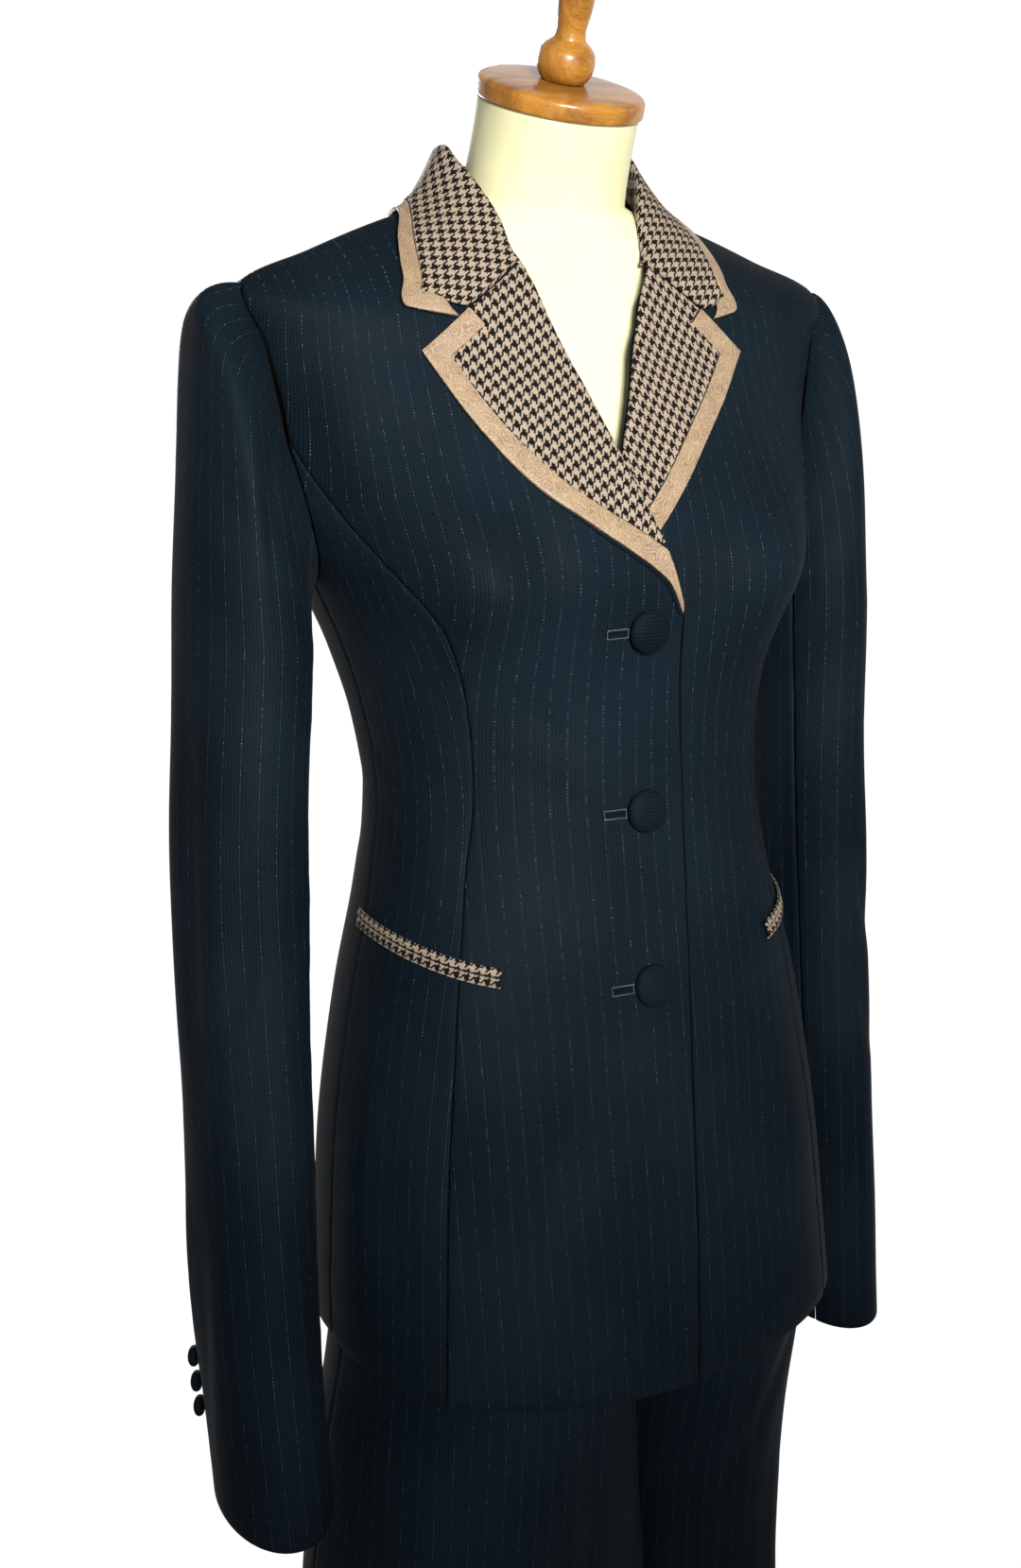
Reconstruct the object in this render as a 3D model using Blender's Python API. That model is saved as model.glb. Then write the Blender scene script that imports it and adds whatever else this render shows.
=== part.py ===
"""A showmanship suit, jacket and trousers, standing on a limbless dress form.

Metres, Z up. The origin is on the floor under the form's pole.
The wearer faces -Y and the wearer's left is +X.
Every cut piece of cloth is a closed solid made from a grid of points on a shared garment surface.
"""

import bpy
import numpy as np

SEAM = 0.0003
CLOTH = 0.0018

# The jacket's outer surface: one row per level. Half widths and depths from the pole axis.
# Columns: side_x, side_y, side_z, front_y, front_z, back_y, back_z, front_full, back_full
BODY = np.array((
    (0.174, 0.000, 0.758, 0.122, 0.730, 0.122, 0.758, 0.10, 0.16),
    (0.172, 0.000, 0.805, 0.120, 0.792, 0.123, 0.805, 0.10, 0.16),
    (0.165, 0.000, 0.880, 0.116, 0.872, 0.120, 0.880, 0.10, 0.16),
    (0.149, 0.000, 0.965, 0.110, 0.962, 0.110, 0.965, 0.12, 0.16),
    (0.133, 0.000, 1.030, 0.104, 1.028, 0.097, 1.030, 0.12, 0.16),
    (0.124, 0.000, 1.085, 0.100, 1.085, 0.090, 1.085, 0.12, 0.16),
    (0.128, 0.000, 1.135, 0.102, 1.135, 0.094, 1.135, 0.12, 0.16),
    (0.139, 0.000, 1.178, 0.107, 1.178, 0.101, 1.178, 0.12, 0.18),
    (0.155, 0.000, 1.218, 0.110, 1.218, 0.109, 1.218, 0.12, 0.20),
    (0.171, -0.002, 1.265, 0.101, 1.262, 0.114, 1.265, 0.10, 0.22),
    (0.181, -0.005, 1.315, 0.086, 1.308, 0.115, 1.314, 0.05, 0.22),
    (0.188, -0.009, 1.353, 0.073, 1.338, 0.111, 1.352, 0.00, 0.20),
    (0.192, -0.012, 1.383, 0.066, 1.358, 0.102, 1.382, 0.00, 0.16),
    (0.150, -0.009, 1.402, 0.062, 1.374, 0.090, 1.400, 0.02, 0.12),
    (0.108, -0.007, 1.419, 0.057, 1.389, 0.075, 1.414, 0.04, 0.08),
    (0.064, -0.005, 1.434, 0.051, 1.402, 0.054, 1.426, 0.05, 0.05),
))
ARMPIT = 8.0
TIP = 12.0
NECK = 15.0
BUST = 0.024

# Seams of the wearer's left half, as (degrees from centre front, level).
PRINCESS = np.array((
    (49.0, 0.0), (48.0, 1.0), (47.5, 2.0), (47.5, 2.9), (48.5, 3.7), (49.0, 4.4), (47.0, 5.1),
    (46.0, 5.9), (47.0, 6.6), (50.0, 7.3), (55.0, 7.9), (61.5, 8.5), (69.0, 9.05), (78.0, 9.65),
))
ARMHOLE_LOW = np.array(((78.0, 9.65), (76.5, 9.2), (77.5, 8.7), (82.0, 8.25), (90.0, 8.0)))
ARMHOLE_HIGH = np.array((
    (78.0, 9.65), (77.2, 10.05), (77.0, 10.45), (77.3, 10.85), (78.7, 11.25), (81.0, 11.6), (85.0, 11.88),
    (90.0, 12.0),
))
ARMHOLE_BACK = np.array((
    (90.0, 8.0), (98.0, 8.15), (106.0, 8.45), (112.0, 8.9), (115.0, 9.5), (115.5, 10.2), (113.0, 10.9),
    (108.0, 11.4), (100.0, 11.8), (90.0, 12.0),
))
# The roll line of each side in front view, as (x towards its own side, z), from the break up to the gorge.
ROLL = {
    "right": np.array((
        (-0.0215, 1.197), (-0.007, 1.236), (0.006, 1.277), (0.021, 1.323), (0.0345, 1.367), (0.0412, 1.391),
    )),
    "left": np.array((
        (-0.0215, 1.224), (-0.006, 1.277), (0.007, 1.310), (0.020, 1.342), (0.0315, 1.372), (0.0412, 1.391),
    )),
}
NECK_FRONT = np.array(((40.0, 14.70), (62.0, 14.93), (90.0, 15.0)))
# The front edge past the centre, as (level, x), cut back a little towards the hem.
EDGE_X = np.array(((0.0, 0.0130), (3.0, 0.0210), (4.9, 0.0265), (7.5, 0.0215)))
SHOULDER_COLUMNS = 6
NECK_COLUMNS = 4


def clear_scene():
    for item in list(bpy.data.objects):
        bpy.data.objects.remove(item, do_unlink=True)


def rows(table, level):
    """The table's row at each level, by a smooth curve through its rows."""
    last = len(table) - 1
    level = np.clip(np.asarray(level, float), 0, last)
    low = np.minimum(level.astype(int), last - 1)
    t = (level - low)[..., None]
    a = table[low]
    b = table[low + 1]
    before = table[np.maximum(low - 1, 0)]
    after = table[np.minimum(low + 2, last)]
    slope_a = np.where((low > 0)[..., None], (b - before) / 2, b - a)
    slope_b = np.where((low + 2 <= last)[..., None], (after - a) / 2, b - a)
    return (
        (2 * t**3 - 3 * t**2 + 1) * a
        + (t**3 - 2 * t**2 + t) * slope_a
        + (3 * t**2 - 2 * t**3) * b
        + (t**3 - t**2) * slope_b
    )


def body(phi, level, table=BODY, bust=BUST):
    """Points of the garment surface at phi degrees from centre front, towards the wearer's left."""
    phi, level = np.broadcast_arrays(np.asarray(phi, float), np.asarray(level, float))
    side_x, side_y, side_z, front_y, front_z, back_y, back_z, front_full, back_full = np.moveaxis(
        rows(table, level), -1, 0
    )
    s = np.sin(np.radians(phi))
    c = np.cos(np.radians(phi))
    full = np.where(c > 0, front_full, back_full)
    k = np.abs(c) * (1 + full * s * s)
    x = side_x * s * (1 + full * c * c)
    y = side_y + k * (np.where(c > 0, -front_y, back_y) - side_y)
    z = side_z + k * (np.where(c > 0, front_z, back_z) - side_z)
    turned = np.abs((phi + 180) % 360 - 180)
    y = y - bust * np.exp(-(((turned - 38) / 19) ** 2) - ((level - ARMPIT + 0.1) / 1.15) ** 2)
    return np.stack([x, y, z], -1)


def body_normal(phi, level, table=BODY, bust=BUST):
    last = len(table) - 1
    across = body(phi + 0.5, level, table, bust) - body(phi - 0.5, level, table, bust)
    up = body(phi, np.minimum(level + 0.02, last), table, bust) - body(
        phi, np.maximum(level - 0.02, 0), table, bust
    )
    return unit(np.cross(across, up))


def unit(vectors):
    return vectors / np.maximum(np.linalg.norm(vectors, axis=-1, keepdims=True), 1e-12)


def front_place(x, z):
    """(degrees, level) of the front at each x and z: the nearest table place, then short Newton steps."""
    x = np.asarray(x, float)
    z = np.asarray(z, float)
    table_phi, table_level = np.meshgrid(np.arange(-40, 90, 1.0), np.arange(0, NECK, 0.1))
    table = body(table_phi, table_level)
    far = (table[..., 0].ravel() - x[..., None]) ** 2 + (table[..., 2].ravel() - z[..., None]) ** 2
    nearest = far.argmin(-1)
    phi = table_phi.ravel()[nearest]
    level = table_level.ravel()[nearest]
    for _ in range(12):
        here = body(phi, level)
        d_phi = (body(phi + 0.1, level) - here) / 0.1
        d_level = (body(phi, level + 0.01) - here) / 0.01
        off_x = x - here[..., 0]
        off_z = z - here[..., 2]
        det = d_phi[..., 0] * d_level[..., 2] - d_phi[..., 2] * d_level[..., 0]
        det = np.where(np.abs(det) < 1e-9, 1e-9, det)
        step_phi = (off_x * d_level[..., 2] - off_z * d_level[..., 0]) / det
        step_level = (off_z * d_phi[..., 0] - off_x * d_phi[..., 2]) / det
        phi = phi + np.clip(step_phi, -0.5, 0.5)
        level = np.clip(level + np.clip(step_level, -0.05, 0.05), 0, NECK)
    return phi, level


def patch(left, right, bottom, top):
    """A four-sided patch between its edges. Rows run from bottom to top and columns from left to right."""
    v = np.linspace(0, 1, len(left))[:, None, None]
    u = np.linspace(0, 1, len(bottom))[None, :, None]
    sides = (1 - u) * left[:, None] + u * right[:, None]
    ends = (1 - v) * bottom[None] + v * top[None]
    corners = (
        (1 - u) * (1 - v) * left[0] + u * (1 - v) * right[0] + (1 - u) * v * left[-1] + u * v * right[-1]
    )
    return sides + ends - corners


def line(a, b, count):
    t = np.linspace(0, 1, count)[:, None]
    return (1 - t) * np.asarray(a, float) + t * np.asarray(b, float)


def resample(points, count):
    """The polyline at count places, evenly along it."""
    points = np.asarray(points, float)
    steps = np.linalg.norm(np.diff(points, axis=0), axis=1)
    along = np.concatenate([[0], np.cumsum(steps)])
    places = np.linspace(0, along[-1], count)
    return np.stack([np.interp(places, along, points[:, i]) for i in range(points.shape[1])], -1)


def pull_edges(points, gap, edges="lrbt"):
    """Moves the named outer rows and columns of the grid inwards along the surface."""
    moved = points.copy()
    if "l" in edges:
        moved[:, 0] += gap * unit(points[:, 1] - points[:, 0])
    if "r" in edges:
        moved[:, -1] += gap * unit(points[:, -2] - points[:, -1])
    if "b" in edges:
        moved[0] += gap * unit(points[1] - points[0])
    if "t" in edges:
        moved[-1] += gap * unit(points[-2] - points[-1])
    return moved


def add_mesh(name, points, faces):
    mesh = bpy.data.meshes.new(name)
    mesh.from_pydata([tuple(p) for p in points], [], [tuple(f) for f in faces])
    mesh.update()
    item = bpy.data.objects.new(name, mesh)
    bpy.context.scene.collection.objects.link(item)
    return item


def signed_volume(points, faces):
    total = 0.0
    for face in faces:
        a = points[face[0]]
        for i in range(1, len(face) - 1):
            total += np.dot(a, np.cross(points[face[i]], points[face[i + 1]]))
    return total


def turn_outwards(points, faces):
    return faces if signed_volume(points, faces) > 0 else [face[::-1] for face in faces]


def sheet(name, outer, normals, thickness=CLOTH):
    """A closed sheet of cloth: the outer grid, the same grid moved in, and the rim between them."""
    inner = outer - thickness * normals
    n, m = outer.shape[:2]
    index = np.arange(n * m).reshape(n, m)
    points = np.concatenate([outer.reshape(-1, 3), inner.reshape(-1, 3)])
    faces = []
    for i in range(n - 1):
        for j in range(m - 1):
            quad = (index[i, j], index[i, j + 1], index[i + 1, j + 1], index[i + 1, j])
            faces.append(quad)
            faces.append(tuple(k + n * m for k in quad[::-1]))
    rim = list(index[0, :]) + list(index[1:, -1]) + list(index[-1, -2::-1]) + list(index[-2:0:-1, 0])
    for a, b in zip(rim, rim[1:] + rim[:1]):
        faces.append((b, a, a + n * m, b + n * m))
    return add_mesh(name, points, turn_outwards(points, faces))


def tube(name, outer, normals, thickness):
    """A closed band of cloth that runs all the way round: each row of the grid is a ring."""
    inner = outer - thickness * normals
    n, m = outer.shape[:2]
    index = np.arange(n * m).reshape(n, m)
    points = np.concatenate([outer.reshape(-1, 3), inner.reshape(-1, 3)])
    faces = []
    for j in range(m):
        k = (j + 1) % m
        for i in range(n - 1):
            quad = (index[i, j], index[i, k], index[i + 1, k], index[i + 1, j])
            faces.append(quad)
            faces.append(tuple(q + n * m for q in quad[::-1]))
        faces.append((index[0, k], index[0, j], index[0, j] + n * m, index[0, k] + n * m))
        faces.append((index[-1, j], index[-1, k], index[-1, k] + n * m, index[-1, j] + n * m))
    return add_mesh(name, points, turn_outwards(points, faces))


def stacked(name, rings):
    """A solid from rings of points, with a flat fan at each end."""
    rings = np.asarray(rings, float)
    n, m = rings.shape[:2]
    points = np.concatenate([rings.reshape(-1, 3), rings[0].mean(0)[None], rings[-1].mean(0)[None]])
    faces = []
    for j in range(m):
        k = (j + 1) % m
        for i in range(n - 1):
            faces.append((i * m + j, i * m + k, (i + 1) * m + k, (i + 1) * m + j))
        faces.append((k, j, n * m))
        faces.append(((n - 1) * m + j, (n - 1) * m + k, n * m + 1))
    return add_mesh(name, points, turn_outwards(points, faces))


def turned(name, centre, axis, profile, count):
    """A lathe-turned solid: profile rows are (distance along the axis, radius)."""
    axis = unit(np.asarray(axis, float))
    side = unit(np.cross(axis, (0.0, 1.0, 0.0) if abs(axis[1]) < 0.9 else (1.0, 0.0, 0.0)))
    other = np.cross(axis, side)
    turn = np.linspace(0, 2 * np.pi, count, endpoint=False)
    circle = np.cos(turn)[:, None] * side + np.sin(turn)[:, None] * other
    rings = [np.asarray(centre, float) + along * axis + radius * circle for along, radius in profile]
    return stacked(name, rings)


def grid_normals(points):
    """Unit normals of a grid from its own steps."""
    down = np.gradient(points, axis=0)
    across = np.gradient(points, axis=1)
    return unit(np.cross(across, down))


def mirrored(points):
    return points * np.array((-1.0, 1.0, 1.0))


# Jacket body


def front_edge(side):
    """The edge of one front: straight down the lap, then along the roll line to the neck."""
    roll = ROLL[side]
    top = front_place(roll[0, 0], roll[0, 1])[1]
    levels = top * PRINCESS[:10, 1] / PRINCESS[9, 1]
    past = np.interp(levels, EDGE_X[:, 0], EDGE_X[:, 1])
    phi = -np.degrees(np.arcsin(past / (rows(BODY, levels)[:, 0] * 1.1)))
    low = np.stack([phi, levels], -1)
    along = resample(roll, 9)[1:]
    high = np.stack(front_place(along[:, 0], along[:, 1]), -1)
    return np.concatenate([low, high, NECK_FRONT])


def side_seam():
    return np.stack([np.full(len(PRINCESS), 90.0), PRINCESS[:, 1] * ARMPIT / PRINCESS[-1, 1]], -1)


def lap_lift(phi, level):
    """How far the right front stands off the left one: most at the break, over the left lapel's end."""
    near_edge = 1 / (1 + np.exp((phi - 19) / 2.2))
    at_break = np.exp(-(((level - 8.3) / 0.95) ** 2))
    return near_edge * (CLOTH + 0.0012 + 0.0054 * at_break)


def body_sheet(name, places, side, lift=None):
    outer = body(places[..., 0], places[..., 1])
    normals = body_normal(places[..., 0], places[..., 1])
    if lift is not None:
        outer = outer + lift(places[..., 0], places[..., 1])[..., None] * normals
    outer = pull_edges(outer, SEAM / 2)
    if side == "right":
        outer = mirrored(outer)
        normals = mirrored(normals)
    sheet(name, outer, normals)


def add_jacket_body():
    armhole_side = np.concatenate([PRINCESS, ARMHOLE_HIGH[1:]])
    shoulder = line((90.0, NECK), (90.0, TIP), SHOULDER_COLUMNS + 1)
    seam = side_seam()
    hem_side = line(PRINCESS[0], seam[0], len(ARMHOLE_LOW))
    side_front = patch(PRINCESS, seam, hem_side, ARMHOLE_LOW)
    back_side = np.concatenate([seam, ARMHOLE_BACK[1:]])
    centre = line((180.0, 0.0), (180.0, NECK), len(back_side))
    neck = line((90.0, NECK), (180.0, NECK), NECK_COLUMNS + 1)
    top = np.concatenate([shoulder[::-1], neck[1:]])
    back = patch(back_side, centre, line((90.0, 0.0), (180.0, 0.0), len(top)), top)
    for side in ("left", "right"):
        edge = front_edge(side)
        hem_front = line(edge[0], PRINCESS[0], SHOULDER_COLUMNS + 1)
        front = patch(edge, armhole_side, hem_front, shoulder)
        body_sheet(f"{side}_front", front, side, lap_lift if side == "right" else None)
        body_sheet(f"{side}_side_front", side_front, side)
        body_sheet(f"{side}_back", back, side)


# Lapels, collar, pocket welts and buttonholes lie on the jacket's outside

TRIM_WIDTH = 0.012
# Each lapel's outer edge in front view, from the break to the tip, and where its band ends at the gorge.
LAPEL_EDGE = {
    "right": np.array((
        (-0.0212, 1.194), (-0.010, 1.212), (0.012, 1.227), (0.035, 1.242), (0.060, 1.263), (0.087, 1.301),
        (0.108, 1.342),
    )),
    "left": np.array((
        (-0.0212, 1.216), (-0.006, 1.226), (0.010, 1.238), (0.032, 1.261), (0.054, 1.287), (0.081, 1.318),
        (0.099, 1.341),
    )),
}
NOTCH = {"right": (0.0775, 1.3655), "left": (0.0735, 1.3660)}
LAPEL_THICK = 0.0018
LAPEL_LEAST = 0.004
LAPEL_LIFT = 0.0010


def moved_in(path, distance):
    """The open path moved sideways by distance, with mitred corners."""
    step = unit(np.diff(path, axis=0))
    side = np.stack([-step[:, 1], step[:, 0]], -1)
    first = np.concatenate([side[:1], side])
    second = np.concatenate([side, side[-1:]])
    middle = unit(first + second)
    return path + distance * middle / np.maximum((middle * second).sum(-1, keepdims=True), 0.4)


def roll_x(side, z):
    """How far the roll line lies on its own side at a height."""
    return np.interp(z, ROLL[side][:, 1], ROLL[side][:, 0])


def lapel_paths(side):
    """The lapel's outer and inner band lines, from the break round the tip to the gorge."""
    low = resample(LAPEL_EDGE[side], 11)
    high = resample(np.array((LAPEL_EDGE[side][-1], NOTCH[side])), 4)
    outer = np.concatenate([low, high[1:]])
    inner = moved_in(outer, TRIM_WIDTH)
    inner[0] = outer[0] + np.array((0.0, TRIM_WIDTH / 2))
    inner[:, 0] = np.maximum(inner[:, 0], roll_x(side, inner[:, 1]) + SEAM)
    return outer, inner


def lie_on_front(name, grid, side, lift, thickness, gap_edges="lrbt"):
    """A sheet laid on the front from (x, z) places, at a height over it."""
    phi, level = front_place(grid[..., 0], grid[..., 1])
    normals = body_normal(phi, level)
    height = lift + thickness
    if side == "right":
        height = height + lap_lift(phi, level)
    points = body(phi, level) + np.broadcast_to(height, phi.shape)[..., None] * normals
    points = pull_edges(points, SEAM, gap_edges)
    if side == "right":
        points = mirrored(points)
        normals = mirrored(normals)
    sheet(name, points, normals, thickness)


def add_lapels():
    for side in ("right", "left"):
        outer, inner = lapel_paths(side)
        far = np.concatenate([inner, outer[-1:]])
        far = far[far[:, 0] - roll_x(side, far[:, 1]) > LAPEL_LEAST]
        above = ROLL[side][ROLL[side][:, 1] > far[0, 1] + LAPEL_LEAST]
        start = np.array(((roll_x(side, far[0, 1]), far[0, 1]),))
        roll = resample(np.concatenate([start, above]), len(far))
        top = line(roll[-1], far[-1], 6)
        bottom = line(roll[0], far[0], 6)
        lie_on_front(f"{side}_lapel", patch(roll, far, bottom, top), side, LAPEL_LIFT, LAPEL_THICK)
        lie_on_front(
            f"{side}_lapel_trim", np.stack([inner, outer], 1), side, LAPEL_LIFT, LAPEL_THICK
        )


# The collar's halves, front to back: where its fold, middle and edge lie on the body, and the fold's rise.
# Columns: fold_phi, fold_level, middle_phi, middle_level, edge_phi, edge_level, rise, lift
COLLAR = {
    "right": np.array((
        (22.4, 14.02, 25.6, 11.98, 37.2, 12.16, 0.000, 0.0018),
        (40.0, 14.80, 41.5, 13.50, 47.5, 13.06, 0.008, 0.0016),
        (62.0, 15.00, 62.5, 14.35, 64.0, 13.82, 0.019, 0.0022),
        (90.0, 15.00, 89.0, 14.68, 87.0, 14.32, 0.026, 0.0020),
        (126.0, 15.00, 125.0, 14.66, 123.0, 14.33, 0.031, 0.0022),
        (180.0, 15.00, 180.0, 14.48, 180.0, 13.95, 0.033, 0.0026),
    )),
    "left": np.array((
        (22.4, 14.02, 25.0, 11.98, 32.4, 12.16, 0.000, 0.0010),
        (40.0, 14.80, 40.0, 13.58, 42.8, 13.16, 0.008, 0.0016),
        (62.0, 15.00, 61.0, 14.40, 61.0, 13.98, 0.019, 0.0022),
        (90.0, 15.00, 90.0, 14.70, 90.0, 14.38, 0.026, 0.0020),
        (126.0, 15.00, 125.0, 14.66, 123.0, 14.33, 0.031, 0.0022),
        (180.0, 15.00, 180.0, 14.48, 180.0, 13.95, 0.033, 0.0026),
    )),
}
COLLAR_MIDDLE = 0.52
COLLAR_THICK = 0.0020
STAND_IN = 0.0055


def collar_point(s, t, side):
    """The collar's outer face: s from gorge (0) to centre back (5), t from fold (0) to edge (1)."""
    s, t = np.broadcast_arrays(np.asarray(s, float), np.asarray(t, float))
    fold_phi, fold_level, middle_phi, middle_level, edge_phi, edge_level, rise, lift = np.moveaxis(
        rows(COLLAR[side], s), -1, 0
    )
    low = np.clip(t, 0, 1)
    first = np.clip(low / COLLAR_MIDDLE, 0, 1)
    second = np.clip((low - COLLAR_MIDDLE) / (1 - COLLAR_MIDDLE), 0, 1)
    phi = fold_phi + first * (middle_phi - fold_phi) + second * (edge_phi - middle_phi)
    level = fold_level + first * (middle_level - fold_level) + second * (edge_level - middle_level)
    on_body = body(phi, level) + (lift + COLLAR_THICK)[..., None] * body_normal(phi, level)
    up = rise * (1 - low) ** 1.7
    point = on_body + up[..., None] * np.array((0.0, 0.0, 1.0))
    inwards = unit(np.array((0.0, -0.006, 0.0)) - on_body * np.array((1.0, 1.0, 0.0)))
    lean = 0.10 * up
    turn_in = np.clip(-t, 0, 1)
    shift = lean + STAND_IN * np.minimum(turn_in * 2.2, 1.0)
    down = (0.90 * rise + 0.001) * np.clip(turn_in * 1.5 - 0.35, 0, 1)
    return point + shift[..., None] * inwards - down[..., None] * np.array((0.0, 0.0, 1.0))


def collar_normal(s, t, side):
    ahead = collar_point(np.minimum(s + 0.02, 5), t, side) - collar_point(np.maximum(s - 0.02, 0), t, side)
    down = collar_point(s, t + 0.03, side) - collar_point(s, t - 0.03, side)
    return unit(np.cross(down, ahead))


def round_the_back(s, t, what):
    """The collar's halves as one grid: columns run from the right gorge round the back to the left."""
    return np.concatenate([mirrored(what(s, t, "right")), what(s, t, "left")[:, ::-1][:, 1:]], axis=1)


def collar_sheet(name, s, t):
    points = pull_edges(round_the_back(s, t, collar_point), SEAM)
    sheet(name, points, round_the_back(s, t, collar_normal), COLLAR_THICK)


def add_collar():
    along = np.array((0.0, 0.45, 0.95, 1.45, 1.95, 2.5, 3.0, 3.5, 4.0, 4.5, 5.0))
    band = 0.20
    mitre_s = 0.42
    inner_t = np.array((-1.0, -0.55, -0.22, 0.0, 0.22, 0.44, COLLAR_MIDDLE, 0.66, 1 - band))
    start = mitre_s * np.interp(inner_t, (0.44, COLLAR_MIDDLE, 0.66, 0.80), (0.0, 0.59, 0.885, 1.0))
    s = start[:, None] + (5.0 - start[:, None]) * (along / 5.0)[None, :]
    t = np.repeat(inner_t[:, None], len(along), 1)
    collar_sheet("collar", s, t)
    outer_s = np.concatenate([[0.0, 0.0], along])
    outer_t = np.concatenate([[COLLAR_MIDDLE + 0.02, 0.76], np.ones(len(along))])
    inner_line = mitre_s + (5.0 - mitre_s) * (along / 5.0)
    in_s = np.concatenate([[mitre_s * 0.62, mitre_s * 0.9], inner_line])
    in_t = np.concatenate([[COLLAR_MIDDLE + 0.02, 0.68], np.full(len(along), 1 - band)])
    collar_sheet("collar_trim", np.stack([in_s, outer_s]), np.stack([in_t, outer_t]))


# Pocket welts: the pocket's top line as (degrees, level) on the wearer's left half
POCKET = np.array(((36.5, 3.50), (48.0, 3.58), (60.0, 3.67), (76.0, 3.77), (93.0, 3.85)))
WELT_LEVELS = 0.082
WELT_GAP = 0.009
WELT_LIFT = 0.0009
WELT_THICK = 0.0014


def add_welts():
    top = resample(POCKET, 13)
    for side in ("right", "left"):
        for name, low in (("upper", 0.0), ("lower", WELT_LEVELS + WELT_GAP)):
            rail = [top - np.array((0.0, low + share * WELT_LEVELS)) for share in (1.0, 0.0)]
            places = np.array(rail)
            normals = body_normal(places[..., 0], places[..., 1])
            points = body(places[..., 0], places[..., 1]) + (WELT_LIFT + WELT_THICK) * normals
            if side == "right":
                points = mirrored(points)
                normals = mirrored(normals)
            sheet(f"{side}_welt_{name}", points, normals, WELT_THICK)


# Buttons sit on the right front, each over the end of a bound buttonhole
BUTTON_X = 0.000
# Columns: z, button_over, hole_over
BUTTONS = (
    (1.185, 0.0015, 0.0008),
    (1.080, 0.0010, 0.0008),
    (0.978, 0.0007, 0.0003),
)
BUTTON_PROFILE = (
    (0.0000, 0.0092), (0.0008, 0.0118), (0.0024, 0.0127), (0.0042, 0.0118), (0.0058, 0.0088),
    (0.0067, 0.0040),
)
HOLE_X = (-0.0135, -0.0265)
HOLE_HALF = 0.0034


def add_buttons():
    for index, (z, button_over, hole_over) in enumerate(BUTTONS, 1):
        phi, level = front_place(-BUTTON_X, z)
        normal = body_normal(phi, level)
        lift = lap_lift(phi, level) + button_over
        centre = mirrored(body(phi, level) + lift * normal)
        turned(f"front_button_{index}", centre, mirrored(normal), BUTTON_PROFILE, 20)
        xs = np.linspace(-HOLE_X[0], -HOLE_X[1], 4)
        grid = np.stack([np.stack([xs, np.full(4, z + up)], -1) for up in (-HOLE_HALF, HOLE_HALF)])
        lie_on_front(f"buttonhole_{index}", grid, "right", hole_over, 0.0010, "")


CUFF_BUTTON_PROFILE = (
    (0.0000, 0.0020), (0.0022, 0.0022), (0.0030, 0.0050), (0.0048, 0.0062), (0.0070, 0.0056),
    (0.0086, 0.0030),
)
CUFF_BUTTONS = (0.040, 0.056, 0.072)


def add_cuff_buttons():
    for side in ("right", "left"):
        table = SLEEVES[side]
        for index, above in enumerate(CUFF_BUTTONS, 1):
            z = table[-1, 0] + above
            level = np.interp(-z, -table[:, 0], np.arange(len(table)))
            turn = BUTTON_TURN[side]
            point = arm_ring(table, level, np.array((turn,)))[0]
            near = arm_ring(table, level, np.array((turn - 4.0, turn + 4.0)))
            facing = unit(np.cross(near[1] - near[0], (0.0, 0.0, 1.0)))
            if facing[0] * np.cos(np.radians(turn)) - facing[1] * np.sin(np.radians(turn)) < 0:
                facing = -facing
            centre = point + 0.0006 * facing
            if side == "right":
                centre = mirrored(centre)
                facing = mirrored(facing)
            turned(f"{side}_cuff_button_{index}", centre, facing, CUFF_BUTTON_PROFILE, 12)


BUTTON_TURN = {"right": -42.0, "left": -42.0}


# Sleeves: rings down the arm, with one centre and two half widths each

# Columns: z, centre_x, centre_y, half_x, half_y, tilt
SLEEVES = {
    "right": np.array((
        (1.185, 0.1955, -0.008, 0.0365, 0.055, 0.00),
        (1.060, 0.205, -0.010, 0.034, 0.053, 0.00),
        (0.930, 0.214, -0.018, 0.034, 0.051, 0.02),
        (0.800, 0.224, -0.030, 0.033, 0.048, 0.06),
        (0.692, 0.231, -0.041, 0.033, 0.046, 0.20),
    )),
    "left": np.array((
        (1.185, 0.1910, -0.003, 0.0360, 0.055, 0.00),
        (1.060, 0.198, 0.009, 0.034, 0.053, 0.00),
        (0.930, 0.205, 0.015, 0.034, 0.051, 0.02),
        (0.800, 0.212, 0.018, 0.033, 0.048, 0.06),
        (0.678, 0.214, 0.017, 0.033, 0.046, 0.20),
    )),
}
CAP_ROWS = 6
ARM_ROWS = 9


def armhole_loop():
    """The armhole from the shoulder tip down the front, under the arm and up the back."""
    return np.concatenate([ARMHOLE_HIGH[::-1], ARMHOLE_LOW[1:], ARMHOLE_BACK[1:-1]])


def sleeve_turns():
    """Each armhole point's angle round the arm: 0 outside, 90 in front, 180 under the arm, 270 behind."""
    high = len(ARMHOLE_HIGH) - 1
    low = len(ARMHOLE_LOW) - 1
    back = len(ARMHOLE_BACK) - 1
    return np.concatenate([
        np.linspace(0, 112, high + 1),
        np.linspace(112, 180, low + 1)[1:],
        np.linspace(180, 360, back + 1)[1:-1],
    ])


def arm_ring(table, level, turns):
    z, centre_x, centre_y, half_x, half_y, tilt = rows(table, np.asarray(level, float))
    angle = np.radians(turns)
    y = centre_y - half_y * np.sin(angle)
    return np.stack([
        centre_x + half_x * np.cos(angle),
        y,
        z + tilt * (y - centre_y),
    ], -1)


# How fast the sleeve head spreads before it falls: in front and behind, and at the shoulder
HEAD_FRONT = 2.4
HEAD_SQUARE = {"right": 7.5, "left": 4.6}
HEAD_FLAT = 0.38


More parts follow.
